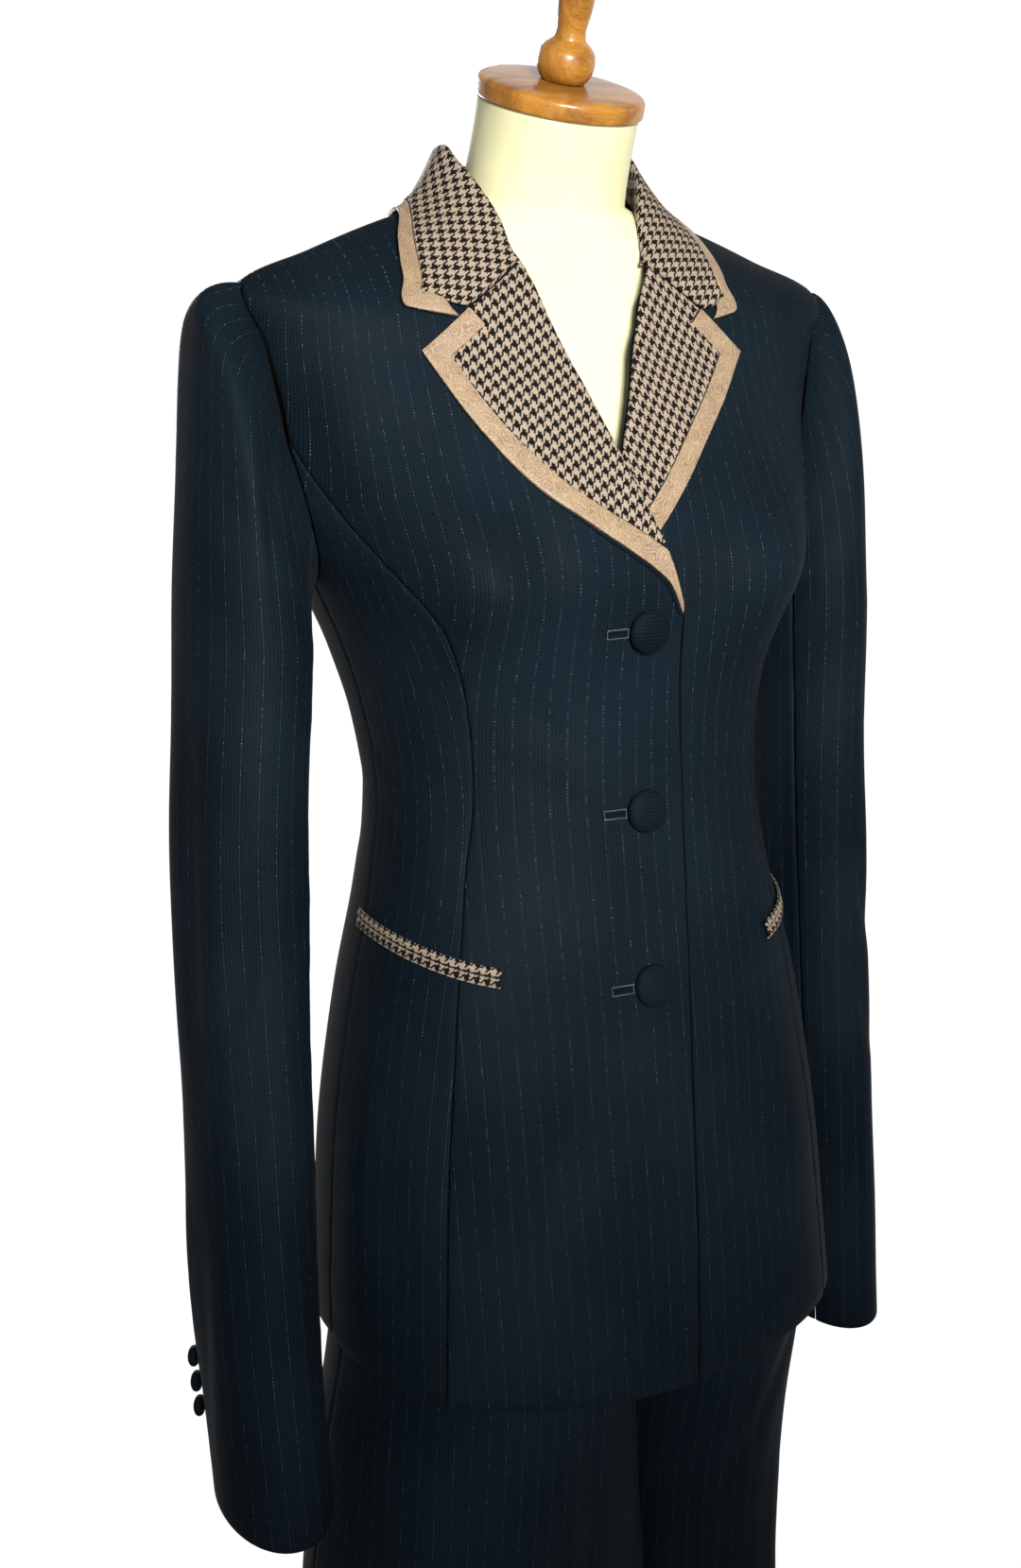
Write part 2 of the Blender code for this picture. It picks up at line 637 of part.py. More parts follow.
def sleeve_grid(side):
    """The whole sleeve of the left arm shape, as rings from the armhole to the cuff, and its normals."""
    loop = armhole_loop()
    turns = sleeve_turns()
    start = body(loop[:, 0], loop[:, 1])
    start = start + np.array((1.0, 0.0, -0.4)) * 0.0014
    table = SLEEVES[side]
    target = arm_ring(table, 0.0, turns)
    rise = np.clip(np.cos(np.radians(turns)), 0, 1)[:, None]
    quick = HEAD_FRONT + (HEAD_SQUARE[side] - HEAD_FRONT) * rise
    grid = []
    for v in np.linspace(0, 1, CAP_ROWS + 1) ** 1.6:
        aside = 1 - (1 - v) ** quick
        down = v ** (1 + HEAD_FLAT * rise)
        grid.append(start + np.concatenate([aside, aside, down], axis=1) * (target - start))
    for level in np.linspace(0, len(table) - 1, ARM_ROWS + 1)[1:]:
        grid.append(arm_ring(table, level, turns))
    return np.array(grid)


def ring_normals(grid):
    """Normals of a grid whose columns run all the way round."""
    across = np.roll(grid, -1, axis=1) - np.roll(grid, 1, axis=1)
    down = np.gradient(grid, axis=0)
    return unit(np.cross(down, across))


FRONT_SEAM = 9
BACK_SEAM = 18


def add_sleeve(side):
    grid = sleeve_grid(side)
    normals = ring_normals(grid)
    middle = grid.mean(axis=1, keepdims=True)
    if (normals[8] * (grid[8] - middle[8])).sum() < 0:
        normals = -normals
    count = grid.shape[1]
    upper = np.arange(BACK_SEAM, FRONT_SEAM + count + 1) % count
    under = np.arange(FRONT_SEAM, BACK_SEAM + 1)
    for name, columns in (("upper", upper), ("under", under)):
        points = pull_edges(grid[:, columns], 1.3 * SEAM, "lr")
        facing = normals[:, columns]
        if side == "right":
            points = mirrored(points)
            facing = mirrored(facing)
        sheet(f"{side}_{name}_sleeve", points, facing, 0.0016)


# Trousers: the hip ring splits into two hanging legs

# The trousers' hips follow the jacket's surface at a distance inside it, until the legs part.
# Columns: z, under, split
HIP = np.array((
    (1.074, 0.0078, 0.0),
    (1.030, 0.0078, 0.0),
    (0.965, 0.0085, 0.0),
    (0.900, 0.0110, 0.0),
    (0.850, 0.0140, 0.10),
    (0.815, 0.0150, 0.45),
    (0.785, 0.0150, 0.85),
    (0.760, 0.0150, 1.0),
))
# Columns: z, centre_x, centre_y, half_x, half_y
LEGS = {
    "right": np.array((
        (0.850, -0.068, 0.000, 0.088, 0.104),
        (0.760, -0.072, 0.000, 0.094, 0.102),
        (0.700, -0.080, -0.004, 0.101, 0.102),
        (0.600, -0.091, -0.010, 0.111, 0.100),
        (0.450, -0.097, -0.010, 0.116, 0.104),
        (0.250, -0.099, -0.0045, 0.118, 0.1085),
        (0.036, -0.101, 0.001, 0.120, 0.1132),
    )),
    "left": np.array((
        (0.850, 0.092, 0.000, 0.066, 0.104),
        (0.760, 0.093, 0.005, 0.068, 0.100),
        (0.700, 0.092, 0.018, 0.067, 0.094),
        (0.600, 0.088, 0.030, 0.063, 0.088),
        (0.450, 0.086, 0.034, 0.061, 0.088),
        (0.250, 0.086, 0.030, 0.061, 0.092),
        (0.036, 0.088, 0.025, 0.063, 0.097),
    )),
}
LEG_LEVELS = np.array((0.72, 0.67, 0.60, 0.52, 0.43, 0.33, 0.22, 0.12, 0.036))
LEG_COLUMNS_EACH = 8
FORK_Z = 0.77
FOLD_DEPTH = 0.006


def leg_at(table, z):
    """The leg's centre and half widths at height z."""
    level = np.interp(-z, -table[:, 0], np.arange(len(table)))
    return rows(table, level)


def inside_body(phi, z, under):
    """Points under the jacket's surface at height z and phi degrees."""
    level = np.interp(z, BODY[:, 2], np.arange(len(BODY)))
    level = np.full(np.shape(phi), level)
    return body(phi, level) - under * body_normal(phi, level)


def leg_panel(side, face):
    """A grid from the hem up to the waist; columns run from the inner seam to the side seam."""
    sign = -1.0 if side == "right" else 1.0
    u = np.linspace(0, 1, LEG_COLUMNS_EACH + 1)
    depth = -1.0 if face == "front" else 1.0
    phi = 90 * u if face == "front" else 180 - 90 * u
    grid = []
    heights = [row[0] for row in HIP] + list(LEG_LEVELS)
    for z in heights[::-1]:
        on_hip = np.interp(-z, -HIP[:, 0], np.arange(len(HIP)))
        _, under, split = rows(HIP, on_hip)
        split = np.clip(split, 0, 1)
        hip = inside_body(phi, z, under)
        hip[:, 0] *= sign
        _, centre_x, centre_y, half_x, half_y = leg_at(LEGS[side], min(z, 0.85))
        half = np.radians(180 * u)
        phase = 0.6 if face == "front" else 1.9
        fold = FOLD_DEPTH * np.clip((0.80 - z) / 0.25, 0, 1) * np.sin(half * 3 + phase)
        fold = fold * np.sin(half)
        leg = np.stack([
            centre_x - sign * (half_x + fold) * np.cos(half),
            centre_y + depth * (half_y + fold) * np.sin(half),
            np.full(len(u), z),
        ], -1)
        grid.append((1 - split) * hip + split * leg)
    return np.array(grid)


def add_trousers():
    for side in ("left", "right"):
        for face in ("front", "back"):
            grid = leg_panel(side, face)
            normals = grid_normals(grid)
            if normals[10, 4, 1] * (1 if face == "back" else -1) < 0:
                normals = -normals
            above = grid[:, 0, 2] > FORK_Z
            normals[above, 0, 0] = 0.0
            normals[~above, 0, 1] = 0.0
            normals[:, -1, 1] = 0.0
            normals = unit(normals)
            sheet(f"{side}_leg_{face}", pull_edges(grid, SEAM / 2, "lr"), normals, 0.0016)
    turn = np.arange(0, 360, 11.25)
    ring = np.array([inside_body(turn, z, 0.0074) for z in (1.0743, 1.092, 1.110)])
    flat = unit(ring * np.array((1.0, 1.0, 0.0)))
    tube("waistband", ring, flat, 0.0024)


# Dress form

# How far the form's skin lies inside the jacket's outer surface at each level
# Columns: level, under_side, under_front, under_back
TORSO = np.array((
    (2.00, 0.0290, 0.0300, 0.0300),
    (2.25, 0.0240, 0.0240, 0.0240),
    (3.00, 0.0125, 0.0140, 0.0140),
    (4.00, 0.0120, 0.0120, 0.0120),
    (4.60, 0.0110, 0.0110, 0.0110),
    (5.00, 0.0105, 0.0105, 0.0105),
    (5.50, 0.0108, 0.0108, 0.0108),
    (6.00, 0.0125, 0.0120, 0.0120),
    (7.00, 0.0130, 0.0130, 0.0130),
    (8.00, 0.0140, 0.0150, 0.0130),
    (9.00, 0.0150, 0.0150, 0.0130),
    (10.0, 0.0160, 0.0140, 0.0120),
    (11.0, 0.0170, 0.0130, 0.0110),
    (11.6, 0.0160, 0.0120, 0.0100),
    (12.1, 0.0090, 0.0110, 0.0090),
    (12.6, 0.0038, 0.0110, 0.0080),
    (13.2, 0.0029, 0.0100, 0.0070),
    (14.0, 0.0029, 0.0090, 0.0070),
    (14.6, 0.0040, 0.0080, 0.0080),
))
TORSO_BOTTOM = 0.872
# Columns: centre_y, centre_z, half_x, half_y, tilt_deg
NECK_RINGS = (
    (-0.004, 1.4240, 0.0520, 0.0480, 12.0),
    (-0.010, 1.4370, 0.0490, 0.0470, 18.0),
    (-0.018, 1.4540, 0.0475, 0.0465, 23.0),
    (-0.0262, 1.4705, 0.0468, 0.0468, 25.6),
    (-0.0322, 1.4833, 0.0470, 0.0470, 25.6),
)
NECK_TILT = np.radians(25.6)
NECK_AXIS = np.array((0.0, -np.sin(NECK_TILT), np.cos(NECK_TILT)))
CAP_CENTRE = np.array((0.0, -0.0325, 1.4836))


def add_form():
    turn = np.arange(0, 360, 11.25)
    side = np.abs(np.sin(np.radians(turn))) ** 2
    rings = []
    for level, under_side, under_front, under_back in TORSO:
        across = np.where(np.cos(np.radians(turn)) > 0, under_front, under_back)
        under = side * under_side + (1 - side) * across
        rings.append(body(turn, level) - under[:, None] * body_normal(turn, level))
    rings[0][:, 2] = TORSO_BOTTOM
    for centre_y, centre_z, half_x, half_y, tilt in NECK_RINGS:
        lean = np.radians(tilt)
        forward = -half_y * np.cos(np.radians(turn))
        rings.append(np.stack([
            half_x * np.sin(np.radians(turn)),
            centre_y + forward * np.cos(lean),
            centre_z + forward * np.sin(lean),
        ], -1))
    stacked("form_torso", rings)
    turned(
        "form_neck_cap", CAP_CENTRE, NECK_AXIS,
        (
            (0.0, 0.0480), (0.0015, 0.0492), (0.0075, 0.0492), (0.0100, 0.0478), (0.0118, 0.0430),
            (0.0125, 0.0250),
        ), 32,
    )
    turned(
        "form_finial", CAP_CENTRE + 0.0128 * NECK_AXIS, NECK_AXIS,
        (
            (0.0, 0.0125), (0.0035, 0.0150), (0.0095, 0.0168), (0.0155, 0.0160), (0.0205, 0.0122),
            (0.0235, 0.0092), (0.0290, 0.0086), (0.0380, 0.0100), (0.0470, 0.0104), (0.0560, 0.0092),
            (0.0620, 0.0058), (0.0645, 0.0016),
        ), 20,
    )
    turned("form_pole", (0, 0, 0.0243), (0, 0, 1), ((0.0, 0.0110), (TORSO_BOTTOM - 0.0246, 0.0110)), 16)
    turned(
        "form_base", (0, 0, 0), (0, 0, 1),
        (
            (0.0, 0.1860), (0.0020, 0.1900), (0.0120, 0.1900), (0.0170, 0.1850), (0.0200, 0.1700),
            (0.0240, 0.0300),
        ), 48,
    )


def main():
    clear_scene()
    add_jacket_body()
    add_lapels()
    add_collar()
    add_welts()
    add_buttons()
    for side in ("left", "right"):
        add_sleeve(side)
    add_cuff_buttons()
    add_trousers()
    add_form()


main()
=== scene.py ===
"""The looks of the showmanship suit on its dress form: cloth shells, trims, materials, camera and lights.

Metres, Z up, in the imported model's frame. The garment surface below repeats the named sizes of the solids, so
that each shell lies on the solid it stands for. The sleeves have their own sizes, nearer to the photograph.
Cloth coordinates are kept in metres in a UV map called "cloth": U runs across the grain and V along it, and
every weave and stripe is worked out from them.
"""

import bpy
import numpy as np
from mathutils import Matrix, Vector


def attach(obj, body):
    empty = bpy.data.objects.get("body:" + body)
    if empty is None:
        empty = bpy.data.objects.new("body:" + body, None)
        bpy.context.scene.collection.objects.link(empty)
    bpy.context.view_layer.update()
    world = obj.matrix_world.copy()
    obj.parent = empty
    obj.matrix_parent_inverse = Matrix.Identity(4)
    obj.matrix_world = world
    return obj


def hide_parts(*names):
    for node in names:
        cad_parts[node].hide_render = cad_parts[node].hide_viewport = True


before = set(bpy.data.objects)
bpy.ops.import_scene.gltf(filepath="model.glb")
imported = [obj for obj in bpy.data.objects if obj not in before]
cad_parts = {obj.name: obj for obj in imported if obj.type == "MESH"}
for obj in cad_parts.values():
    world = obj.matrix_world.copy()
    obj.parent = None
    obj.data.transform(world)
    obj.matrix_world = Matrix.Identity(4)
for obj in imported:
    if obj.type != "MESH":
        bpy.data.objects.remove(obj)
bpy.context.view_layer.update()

FULL_TURN = 2 * np.pi
# The gap between two pieces at a seam, and the thickness of the jacket's cloth
SEAM = 0.0003
CLOTH = 0.0018
UV_NAME = "cloth"

# The jacket's outer surface, one row for each level: the side's x, y and z, the front's y and z, the back's y
# and z, and how full the front and the back are. Half widths and depths are taken from the pole's axis.
BODY = np.array((
    (0.174, 0.000, 0.758, 0.122, 0.730, 0.122, 0.758, 0.10, 0.16),
    (0.172, 0.000, 0.805, 0.120, 0.792, 0.123, 0.805, 0.10, 0.16),
    (0.165, 0.000, 0.880, 0.116, 0.872, 0.120, 0.880, 0.10, 0.16),
    (0.149, 0.000, 0.965, 0.110, 0.962, 0.110, 0.965, 0.12, 0.16),
    (0.133, 0.000, 1.030, 0.104, 1.028, 0.097, 1.030, 0.12, 0.16),
    (0.124, 0.000, 1.085, 0.100, 1.085, 0.090, 1.085, 0.12, 0.16),
    (0.128, 0.000, 1.135, 0.102, 1.135, 0.094, 1.135, 0.12, 0.16),
    (0.139, 0.000, 1.178, 0.107, 1.178, 0.101, 1.178, 0.12, 0.18),
    (0.155, 0.000, 1.218, 0.110, 1.218, 0.109, 1.218, 0.12, 0.20),
    (0.171, -0.002, 1.265, 0.101, 1.262, 0.114, 1.265, 0.10, 0.22),
    (0.181, -0.005, 1.315, 0.086, 1.308, 0.115, 1.314, 0.05, 0.22),
    (0.188, -0.009, 1.353, 0.073, 1.338, 0.111, 1.352, 0.00, 0.20),
    (0.192, -0.012, 1.383, 0.066, 1.358, 0.102, 1.382, 0.00, 0.16),
    (0.150, -0.009, 1.402, 0.062, 1.374, 0.090, 1.400, 0.02, 0.12),
    (0.108, -0.007, 1.419, 0.057, 1.389, 0.075, 1.414, 0.04, 0.08),
    (0.064, -0.005, 1.434, 0.051, 1.402, 0.054, 1.426, 0.05, 0.05),
))
# The levels of the armpit, the shoulder tip and the neck, and how far the bust stands out
ARMPIT = 8.0
TIP = 12.0
NECK = 15.0
BUST = 0.024

# Seams of the wearer's left half, as (degrees from centre front, level)
PRINCESS = np.array((
    (49.0, 0.0), (48.0, 1.0), (47.5, 2.0), (47.5, 2.9), (48.5, 3.7), (49.0, 4.4), (47.0, 5.1),
    (46.0, 5.9), (47.0, 6.6), (50.0, 7.3), (55.0, 7.9), (61.5, 8.5), (69.0, 9.05), (78.0, 9.65),
))
ARMHOLE_LOW = np.array(((78.0, 9.65), (76.5, 9.2), (77.5, 8.7), (82.0, 8.25), (90.0, 8.0)))
ARMHOLE_HIGH = np.array((
    (78.0, 9.65), (77.2, 10.05), (77.0, 10.45), (77.3, 10.85), (78.7, 11.25), (81.0, 11.6), (85.0, 11.88),
    (90.0, 12.0),
))
ARMHOLE_BACK = np.array((
    (90.0, 8.0), (98.0, 8.15), (106.0, 8.45), (112.0, 8.9), (115.0, 9.5), (115.5, 10.2), (113.0, 10.9),
    (108.0, 11.4), (100.0, 11.8), (90.0, 12.0),
))
# The roll line of each side in front view, as (x towards its own side, z), from the break up to the gorge
ROLL = {
    "right": np.array((
        (-0.0215, 1.197), (-0.007, 1.236), (0.006, 1.277), (0.021, 1.323), (0.0345, 1.367), (0.0412, 1.391),
    )),
    "left": np.array((
        (-0.0215, 1.224), (-0.006, 1.277), (0.007, 1.310), (0.020, 1.342), (0.0315, 1.372), (0.0412, 1.391),
    )),
}
# The neckline from the gorge to the shoulder, as (degrees, level)
NECK_FRONT = np.array(((40.0, 14.70), (62.0, 14.93), (90.0, 15.0)))
# How far the front edge lies past the centre, as (level, x), cut back a little towards the hem
EDGE_X = np.array(((0.0, 0.0130), (3.0, 0.0210), (4.9, 0.0265), (7.5, 0.0215)))


# Arithmetic shared by all pieces


def rows(table, level):
    """The table's row at each level, by a smooth curve through its rows."""
    last = len(table) - 1
    level = np.clip(np.asarray(level, float), 0, last)
    low = np.minimum(level.astype(int), last - 1)
    t = (level - low)[..., None]
    a = table[low]
    b = table[low + 1]
    before = table[np.maximum(low - 1, 0)]
    after = table[np.minimum(low + 2, last)]
    slope_a = np.where((low > 0)[..., None], (b - before) / 2, b - a)
    slope_b = np.where((low + 2 <= last)[..., None], (after - a) / 2, b - a)
    return (
        (2 * t**3 - 3 * t**2 + 1) * a
        + (t**3 - 2 * t**2 + t) * slope_a
        + (3 * t**2 - 2 * t**3) * b
        + (t**3 - t**2) * slope_b
    )


def unit(vectors):
    return vectors / np.maximum(np.linalg.norm(vectors, axis=-1, keepdims=True), 1e-12)


def mirrored(points):
    return points * np.array((-1.0, 1.0, 1.0))


def on_side(side, *grids):
    """Grids of the wearer's left half, mirrored where the side is the right."""
    return [mirrored(grid) for grid in grids] if side == "right" else list(grids)


def body(phi, level):
    """Points of the garment surface at phi degrees from centre front, towards the wearer's left."""
    phi, level = np.broadcast_arrays(np.asarray(phi, float), np.asarray(level, float))
    side_x, side_y, side_z, front_y, front_z, back_y, back_z, front_full, back_full = np.moveaxis(
        rows(BODY, level), -1, 0
    )
    s = np.sin(np.radians(phi))
    c = np.cos(np.radians(phi))
    full = np.where(c > 0, front_full, back_full)
    k = np.abs(c) * (1 + full * s * s)
    x = side_x * s * (1 + full * c * c)
    y = side_y + k * (np.where(c > 0, -front_y, back_y) - side_y)
    z = side_z + k * (np.where(c > 0, front_z, back_z) - side_z)
    from_front = np.abs((phi + 180) % 360 - 180)
    y = y - BUST * bell((from_front - 38) / 19) * bell((level - ARMPIT + 0.1) / 1.15)
    return np.stack([x, y, z], -1)


def body_normal(phi, level):
    last = len(BODY) - 1
    across = body(phi + 0.5, level) - body(phi - 0.5, level)
    up = body(phi, np.minimum(level + 0.02, last)) - body(phi, np.maximum(level - 0.02, 0))
    return unit(np.cross(across, up))


def front_place(x, z):
    """(degrees, level) of the front surface at each x and z: a table's nearest place, then short steps."""
    x = np.asarray(x, float)
    z = np.asarray(z, float)
    table_phi, table_level = np.meshgrid(np.arange(-40, 90, 3.0), np.arange(0, NECK, 0.25))
    table = body(table_phi, table_level)
    far = (table[..., 0].ravel() - x[..., None]) ** 2 + (table[..., 2].ravel() - z[..., None]) ** 2
    nearest = far.argmin(-1)
    phi = table_phi.ravel()[nearest]
    level = table_level.ravel()[nearest]
    for _ in range(14):
        here = body(phi, level)
        d_phi = (body(phi + 0.1, level) - here) / 0.1
        d_level = (body(phi, level + 0.01) - here) / 0.01
        off_x = x - here[..., 0]
        off_z = z - here[..., 2]
        det = d_phi[..., 0] * d_level[..., 2] - d_phi[..., 2] * d_level[..., 0]
        det = np.where(np.abs(det) < 1e-9, 1e-9, det)
        step_phi = (off_x * d_level[..., 2] - off_z * d_level[..., 0]) / det
        step_level = (off_z * d_phi[..., 0] - off_x * d_phi[..., 2]) / det
        phi = phi + np.clip(step_phi, -0.8, 0.8)
        level = np.clip(level + np.clip(step_level, -0.08, 0.08), 0, NECK)
    return phi, level


def patch(left, right, bottom, top):
    """A four-sided patch between its edges. Rows run from bottom to top and columns from left to right."""
    v = np.linspace(0, 1, len(left))[:, None, None]
    u = np.linspace(0, 1, len(bottom))[None, :, None]
    sides = (1 - u) * left[:, None] + u * right[:, None]
    ends = (1 - v) * bottom[None] + v * top[None]
    low_corners = (1 - u) * left[0] + u * right[0]
    high_corners = (1 - u) * left[-1] + u * right[-1]
    corners = (1 - v) * low_corners + v * high_corners
    return sides + ends - corners


def line(a, b, count):
    t = np.linspace(0, 1, count)[:, None]
    return (1 - t) * np.asarray(a, float) + t * np.asarray(b, float)


def resample(points, count):
    """The polyline at count places, evenly along it."""
    points = np.asarray(points, float)
    steps = np.linalg.norm(np.diff(points, axis=0), axis=1)
    along = np.concatenate([[0], np.cumsum(steps)])
    places = np.linspace(0, along[-1], count)
    return np.stack([np.interp(places, along, points[:, i]) for i in range(points.shape[1])], -1)


def denser(points, steps):
    """A smooth path through the points, with that many steps between each two of them."""
    points = np.asarray(points, float)
    return rows(points, np.linspace(0, len(points) - 1, (len(points) - 1) * steps + 1))


def pull_edges(points, gap, edges="lrbt"):
    """Moves the named outer rows and columns of the grid inwards along the surface."""
    moved = points.copy()
    if "l" in edges:
        moved[:, 0] += gap * unit(points[:, 1] - points[:, 0])
    if "r" in edges:
        moved[:, -1] += gap * unit(points[:, -2] - points[:, -1])
    if "b" in edges:
        moved[0] += gap * unit(points[1] - points[0])
    if "t" in edges:
        moved[-1] += gap * unit(points[-2] - points[-1])
    return moved


def grid_normals(points, wrap=False):
    """Unit normals of a grid from its own steps. With wrap, its columns run all the way round."""
    along = np.gradient(points, axis=0)
    if wrap:
        across = np.roll(points, -1, axis=1) - np.roll(points, 1, axis=1)
    else:
        across = np.gradient(points, axis=1)
    return unit(np.cross(across, along))


def lengths(points, axis, start=0):
    """How far each point of a grid lies along its row or column from the start index, in metres."""
    steps = np.linalg.norm(np.diff(points, axis=axis), axis=-1)
    zero = np.zeros_like(np.take(steps, [0], axis=axis))
    total = np.concatenate([zero, np.cumsum(steps, axis=axis)], axis=axis)
    return total - np.take(total, [start], axis=axis)


def ring_lengths(rings):
    """How far each point lies along its ring, with the whole ring's length in one column more."""
    return lengths(np.concatenate([rings, rings[:, :1]], axis=1), 1)


def facing_out(grid, normals):
    """The normals of a tube, or of half a tube, turned so that they point away from its inside."""
    half = len(grid) // 2
    away = (normals[half] * (grid[half] - grid[half].mean(axis=0))).sum()
    return normals if away > 0 else -normals


def smooth_step(x, low, high):
    t = np.clip((x - low) / (high - low), 0, 1)
    return t * t * (3 - 2 * t)


def bell(x):
    return np.exp(-(x**2))


def ripple(x, seed):
    """An uneven wave of about unit height: three sines whose lengths don't match."""
    return 0.5 * np.sin(x + seed) + 0.3 * np.sin(1.73 * x + 2.1 * seed) + 0.2 * np.sin(3.1 * x + 3.7 * seed)


def nearest_on_path(points, path):
    """How far each point lies from a path, and where along the path (0 to 1) its nearest place is."""
    best = np.full(points.shape[:-1], 1e9)
    place = np.zeros(points.shape[:-1])
    steps = np.linalg.norm(np.diff(path, axis=0), axis=1)
    total = steps.sum()
    done = 0.0
    for a, b, step in zip(path[:-1], path[1:], steps):
        along = np.clip(((points - a) @ (b - a)) / max(step * step, 1e-12), 0, 1)
        far = np.linalg.norm(points - (a + along[..., None] * (b - a)), axis=-1)
        closer = far < best
        best = np.where(closer, far, best)
        place = np.where(closer, (done + along * step) / total, place)
        done += step
    return best, place


def creased(points, normals, creases):
    """The surface with soft troughs and ridges. A crease is (path, depth, half width), fading at its ends."""
    moved = points
    for path, depth, width in creases:
        path = np.asarray(path, float)
        path = denser(path, 4) if len(path) > 2 else path
        far, place = nearest_on_path(points, path)
        fade = np.sin(np.pi * np.clip(place, 0.02, 0.98)) ** 0.8
        moved = moved - (depth * bell(far / width) * fade)[..., None] * normals
    return moved


# Making meshes


def put(name, data):
    """A new object of the scene with this data."""
    item = bpy.data.objects.new(name, data)
    bpy.context.scene.collection.objects.link(item)
    return item


def add_mesh(name, points, faces, uv, material):
    """A smooth-shaded mesh object. uv has one pair for each point, or is None."""
    mesh = bpy.data.meshes.new(name)
    mesh.from_pydata(points.tolist(), [], faces)
    mesh.update()
    if uv is not None:
        layer = mesh.uv_layers.new(name=UV_NAME)
        corners = np.empty(len(mesh.loops), np.int32)
        mesh.loops.foreach_get("vertex_index", corners)
        layer.data.foreach_set("uv", np.ascontiguousarray(uv[corners], np.float32).ravel())
    mesh.shade_smooth()
    mesh.materials.append(material)
    return put(name, mesh)


def inside_out(points, faces):
    """Whether a closed surface of quads, but for small open ends, faces inwards."""
    a, b, c, d = (points[faces[:, i]] for i in range(4))
    return (a * np.cross(b, c)).sum() + (a * np.cross(c, d)).sum() < 0


def add_quads(name, points, faces, uv, material):
    """A closed mesh of quads, turned outwards."""
    if inside_out(points, faces):
        faces = faces[:, ::-1]
    return add_mesh(name, points, faces.tolist(), uv, material)


def quads(n, m, wrap=False):
    """Quad faces of an n by m grid of points. With wrap, the last column joins the first."""
    i, j = np.meshgrid(np.arange(n - 1), np.arange(m if wrap else m - 1), indexing="ij")
    k = (j + 1) % m
    return np.stack([i * m + j, i * m + k, (i + 1) * m + k, (i + 1) * m + j], -1).reshape(-1, 4)


def rim_faces(rim, jump):
    """Faces between a closed loop of points and the same loop in the next layer."""
    a = np.asarray(rim)
    b = np.roll(a, -1)
    return np.stack([b, a, a + jump, b + jump], -1)


def rim_of(n, m):
    """The outer points of an n by m grid, all the way round."""
    index = np.arange(n * m).reshape(n, m)
    return np.concatenate([index[0, :], index[1:, -1], index[-1, -2::-1], index[-2:0:-1, 0]])


def cloth_sheet(name, outer, normals, uv, material, thickness=CLOTH, round_edge=0.0005):
    """A closed sheet of cloth with softly rounded edges: outer face, a proud middle rim, inner face."""
    n, m = outer.shape[:2]
    inner = outer - thickness * normals
    rim = rim_of(n, m)
    flat_uv = uv.reshape(-1, 2)
    points = np.concatenate([
        pull_edges(outer, round_edge).reshape(-1, 3),
        pull_edges(inner, round_edge).reshape(-1, 3),
        ((outer + inner) / 2).reshape(-1, 3)[rim],
    ])
    all_uv = np.concatenate([flat_uv, flat_uv, flat_uv[rim]])
    face = quads(n, m)
    count = n * m
    belt = 2 * count + np.arange(len(rim))
    ahead = np.roll(np.arange(len(rim)), -1)
    faces = np.concatenate([
        face,
        face[:, ::-1] + count,
        np.stack([rim[ahead], rim, belt, belt[ahead]], -1),
        np.stack([belt[ahead], belt, rim + count, rim[ahead] + count], -1),
    ])
    return add_quads(name, points, faces, all_uv, material)


def cloth_tube(name, outer, normals, uv, material, thickness):
    """A closed band of cloth that runs all the way round: each row of the grid is a ring."""
    n, m = outer.shape[:2]
    points = np.concatenate([outer.reshape(-1, 3), (outer - thickness * normals).reshape(-1, 3)])
    face = quads(n, m, wrap=True)
    count = n * m
    first = np.arange(m)
    last = (n - 1) * m + np.arange(m)
    faces = np.concatenate([
        face, face[:, ::-1] + count, rim_faces(first, count), rim_faces(last[::-1], count),
    ])
    both = np.concatenate([uv.reshape(-1, 2)] * 2)
    return add_quads(name, points, faces, both, material)


def stacked(name, rings, uv, material):
    """A closed solid from rings of points, with a fan at each end."""
    n, m = rings.shape[:2]
    points = np.concatenate([rings.reshape(-1, 3), rings[0].mean(0)[None], rings[-1].mean(0)[None]])
    uv = np.concatenate([uv.reshape(-1, 2), uv[0].mean(0)[None], uv[-1].mean(0)[None]])
    side = quads(n, m, wrap=True)
    j = np.arange(m)
    k = (j + 1) % m
    low = np.stack([k, j, np.full(m, n * m)], -1)
    high = np.stack([(n - 1) * m + j, (n - 1) * m + k, np.full(m, n * m + 1)], -1)
    faces = side.tolist() + low.tolist() + high.tolist()
    if inside_out(points, side):
        faces = [face[::-1] for face in faces]
    return add_mesh(name, points, faces, uv, material)


def axes_round(axis):
    """The unit axis and two more at right angles to it and to each other."""
    axis = unit(np.asarray(axis, float))
    side = unit(np.cross(axis, (0.0, 1.0, 0.0) if abs(axis[1]) < 0.9 else (1.0, 0.0, 0.0)))
    return axis, side, np.cross(axis, side)


def circle_turns(count):
    """Angles evenly all round, in radians."""
    return np.linspace(0, FULL_TURN, count, endpoint=False)


def lathe_rings(centre, axes, heights, radius):
    """Rings round an axis, one at each height. The radius has a row for each ring, and may vary along it."""
    axis, side, other = axes
    turn = circle_turns(radius.shape[1])
    circle = np.cos(turn)[:, None] * side + np.sin(turn)[:, None] * other
    return np.asarray(centre, float) + heights[:, None, None] * axis + radius[..., None] * circle[None]


LEAST_RADIUS = 0.0002
PROFILE_STEPS = 6


